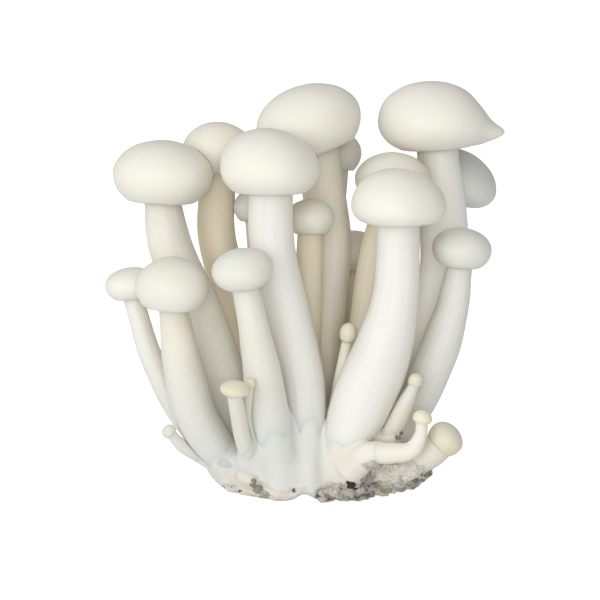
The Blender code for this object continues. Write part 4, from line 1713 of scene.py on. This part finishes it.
@dataclass(frozen=True)
class Studio:
    """A plain pale floor with soft light, mostly from the front left.

    Fields: the view, the floor's radius in metres, how far it lies under the bunch, its
    colour, its glow as others and as the camera see it, the way that the light from all round is
    strongest, its least and greatest strength, its colour, and the lamps.
    """

    view: Viewpoint
    floor_radius: float = 6.0
    floor_drop: float = 0.0002
    floor_colour: Colour = (0.80, 0.80, 0.79)
    floor_glow: tuple[float, float] = (0.15, 0.80)
    sky_side: tuple[float, float, float] = (-0.62, -0.58, 0.53)
    sky: tuple[float, float] = (0.04, 0.86)
    sky_colour: Colour = (1.0, 0.99, 0.97)
    lamps: tuple[Lamp, ...] = (
        Lamp("key", (-1.40, -1.75, 0.50), 1.10, 9.2),
        Lamp("fill", (0.02, -1.90, 0.40), 0.50, 8.0),
    )

    def build(self) -> None:
        """Makes the floor, the world, the lamps and the camera."""
        scene = bpy.context.scene
        scene.camera = self.view.camera()
        scene.view_settings.view_transform = "Standard"
        self._floor()
        self._world()
        for lamp in self.lamps:
            data = bpy.data.lights.new(lamp.name, "AREA")
            data.size = lamp.width
            data.energy = lamp.power
            made = new_object(lamp.name, data)
            made.location = lamp.place
            away = Vector(lamp.place) - Vector(self.view.aim)
            made.rotation_euler = away.to_track_quat("Z", "Y").to_euler()

    def _floor(self) -> None:
        """Makes the floor."""
        bm = bmesh.new()
        bmesh.ops.create_circle(
            bm, cap_ends=True, radius=self.floor_radius, segments=96,
            matrix=Matrix.Translation(UP * -self.floor_drop),
        )
        finish, sketch, shader = new_finish("floor")
        seen = sketch.add("LightPath").outputs["Is Camera Ray"]
        spread, shown = self.floor_glow
        glow = sketch.maths("ADD", sketch.maths("MULTIPLY", seen, shown - spread), spread)
        sketch.feed(
            shader, Base_Color=self.floor_colour, Roughness=0.8, Emission_Color=WHITE, Emission_Strength=glow
        )
        mesh = new_mesh(bm, "floor")
        mesh.materials.append(finish)
        new_object("floor", mesh)

    def _world(self) -> None:
        """Lights the bunch softly from all round, and shows plain white behind it."""
        world = bpy.data.worlds.new("studio")
        world.use_nodes = True
        nodes = world.node_tree.nodes
        sketch = Sketch(world.node_tree)
        all_round = sketch.add("TexCoord").outputs["Generated"]
        side = sketch.add("VectorMath", operation="DOT_PRODUCT")
        sketch.feed(side, i0=all_round, i1=Vector(self.sky_side).normalized())
        least, most = self.sky
        spread = sketch.add("MapRange")
        sketch.feed(spread, Value=side.outputs["Value"], From_Min=-1.0, To_Min=least, To_Max=most)
        light = sketch.add("Background")
        sketch.feed(light, Color=self.sky_colour, Strength=spread.outputs["Result"])
        shown = sketch.feed(nodes["Background"], Color=WHITE)
        seen = sketch.add("LightPath").outputs["Is Camera Ray"]
        pick = sketch.feed(sketch.add("MixShader"), i0=seen, i1=light.outputs[0], i2=shown.outputs[0])
        sketch.feed(nodes["World Output"], Surface=pick.outputs[0])
        bpy.context.scene.world = world


def main() -> None:
    """Builds the bunch and its studio."""
    logging.basicConfig(level=logging.INFO, format="%(message)s")
    effects = Effects()
    view = Viewpoint()
    bunch = Bunch(effects)
    bunch.build()
    foot = Foot().build(FOOT_FELT.material(effects), bunch)
    medium_finish = CRUMBLY_MEDIUM.material(effects)
    medium = GrowingMedium().build(medium_finish)
    crumbs = Crumbs(view, [foot, medium]).build(medium_finish)
    for piece in (foot, medium, crumbs):
        log.info("%s: %d faces", piece.name, len(piece.data.polygons))
    Studio(view).build()


if __name__ == "__main__":
    main()
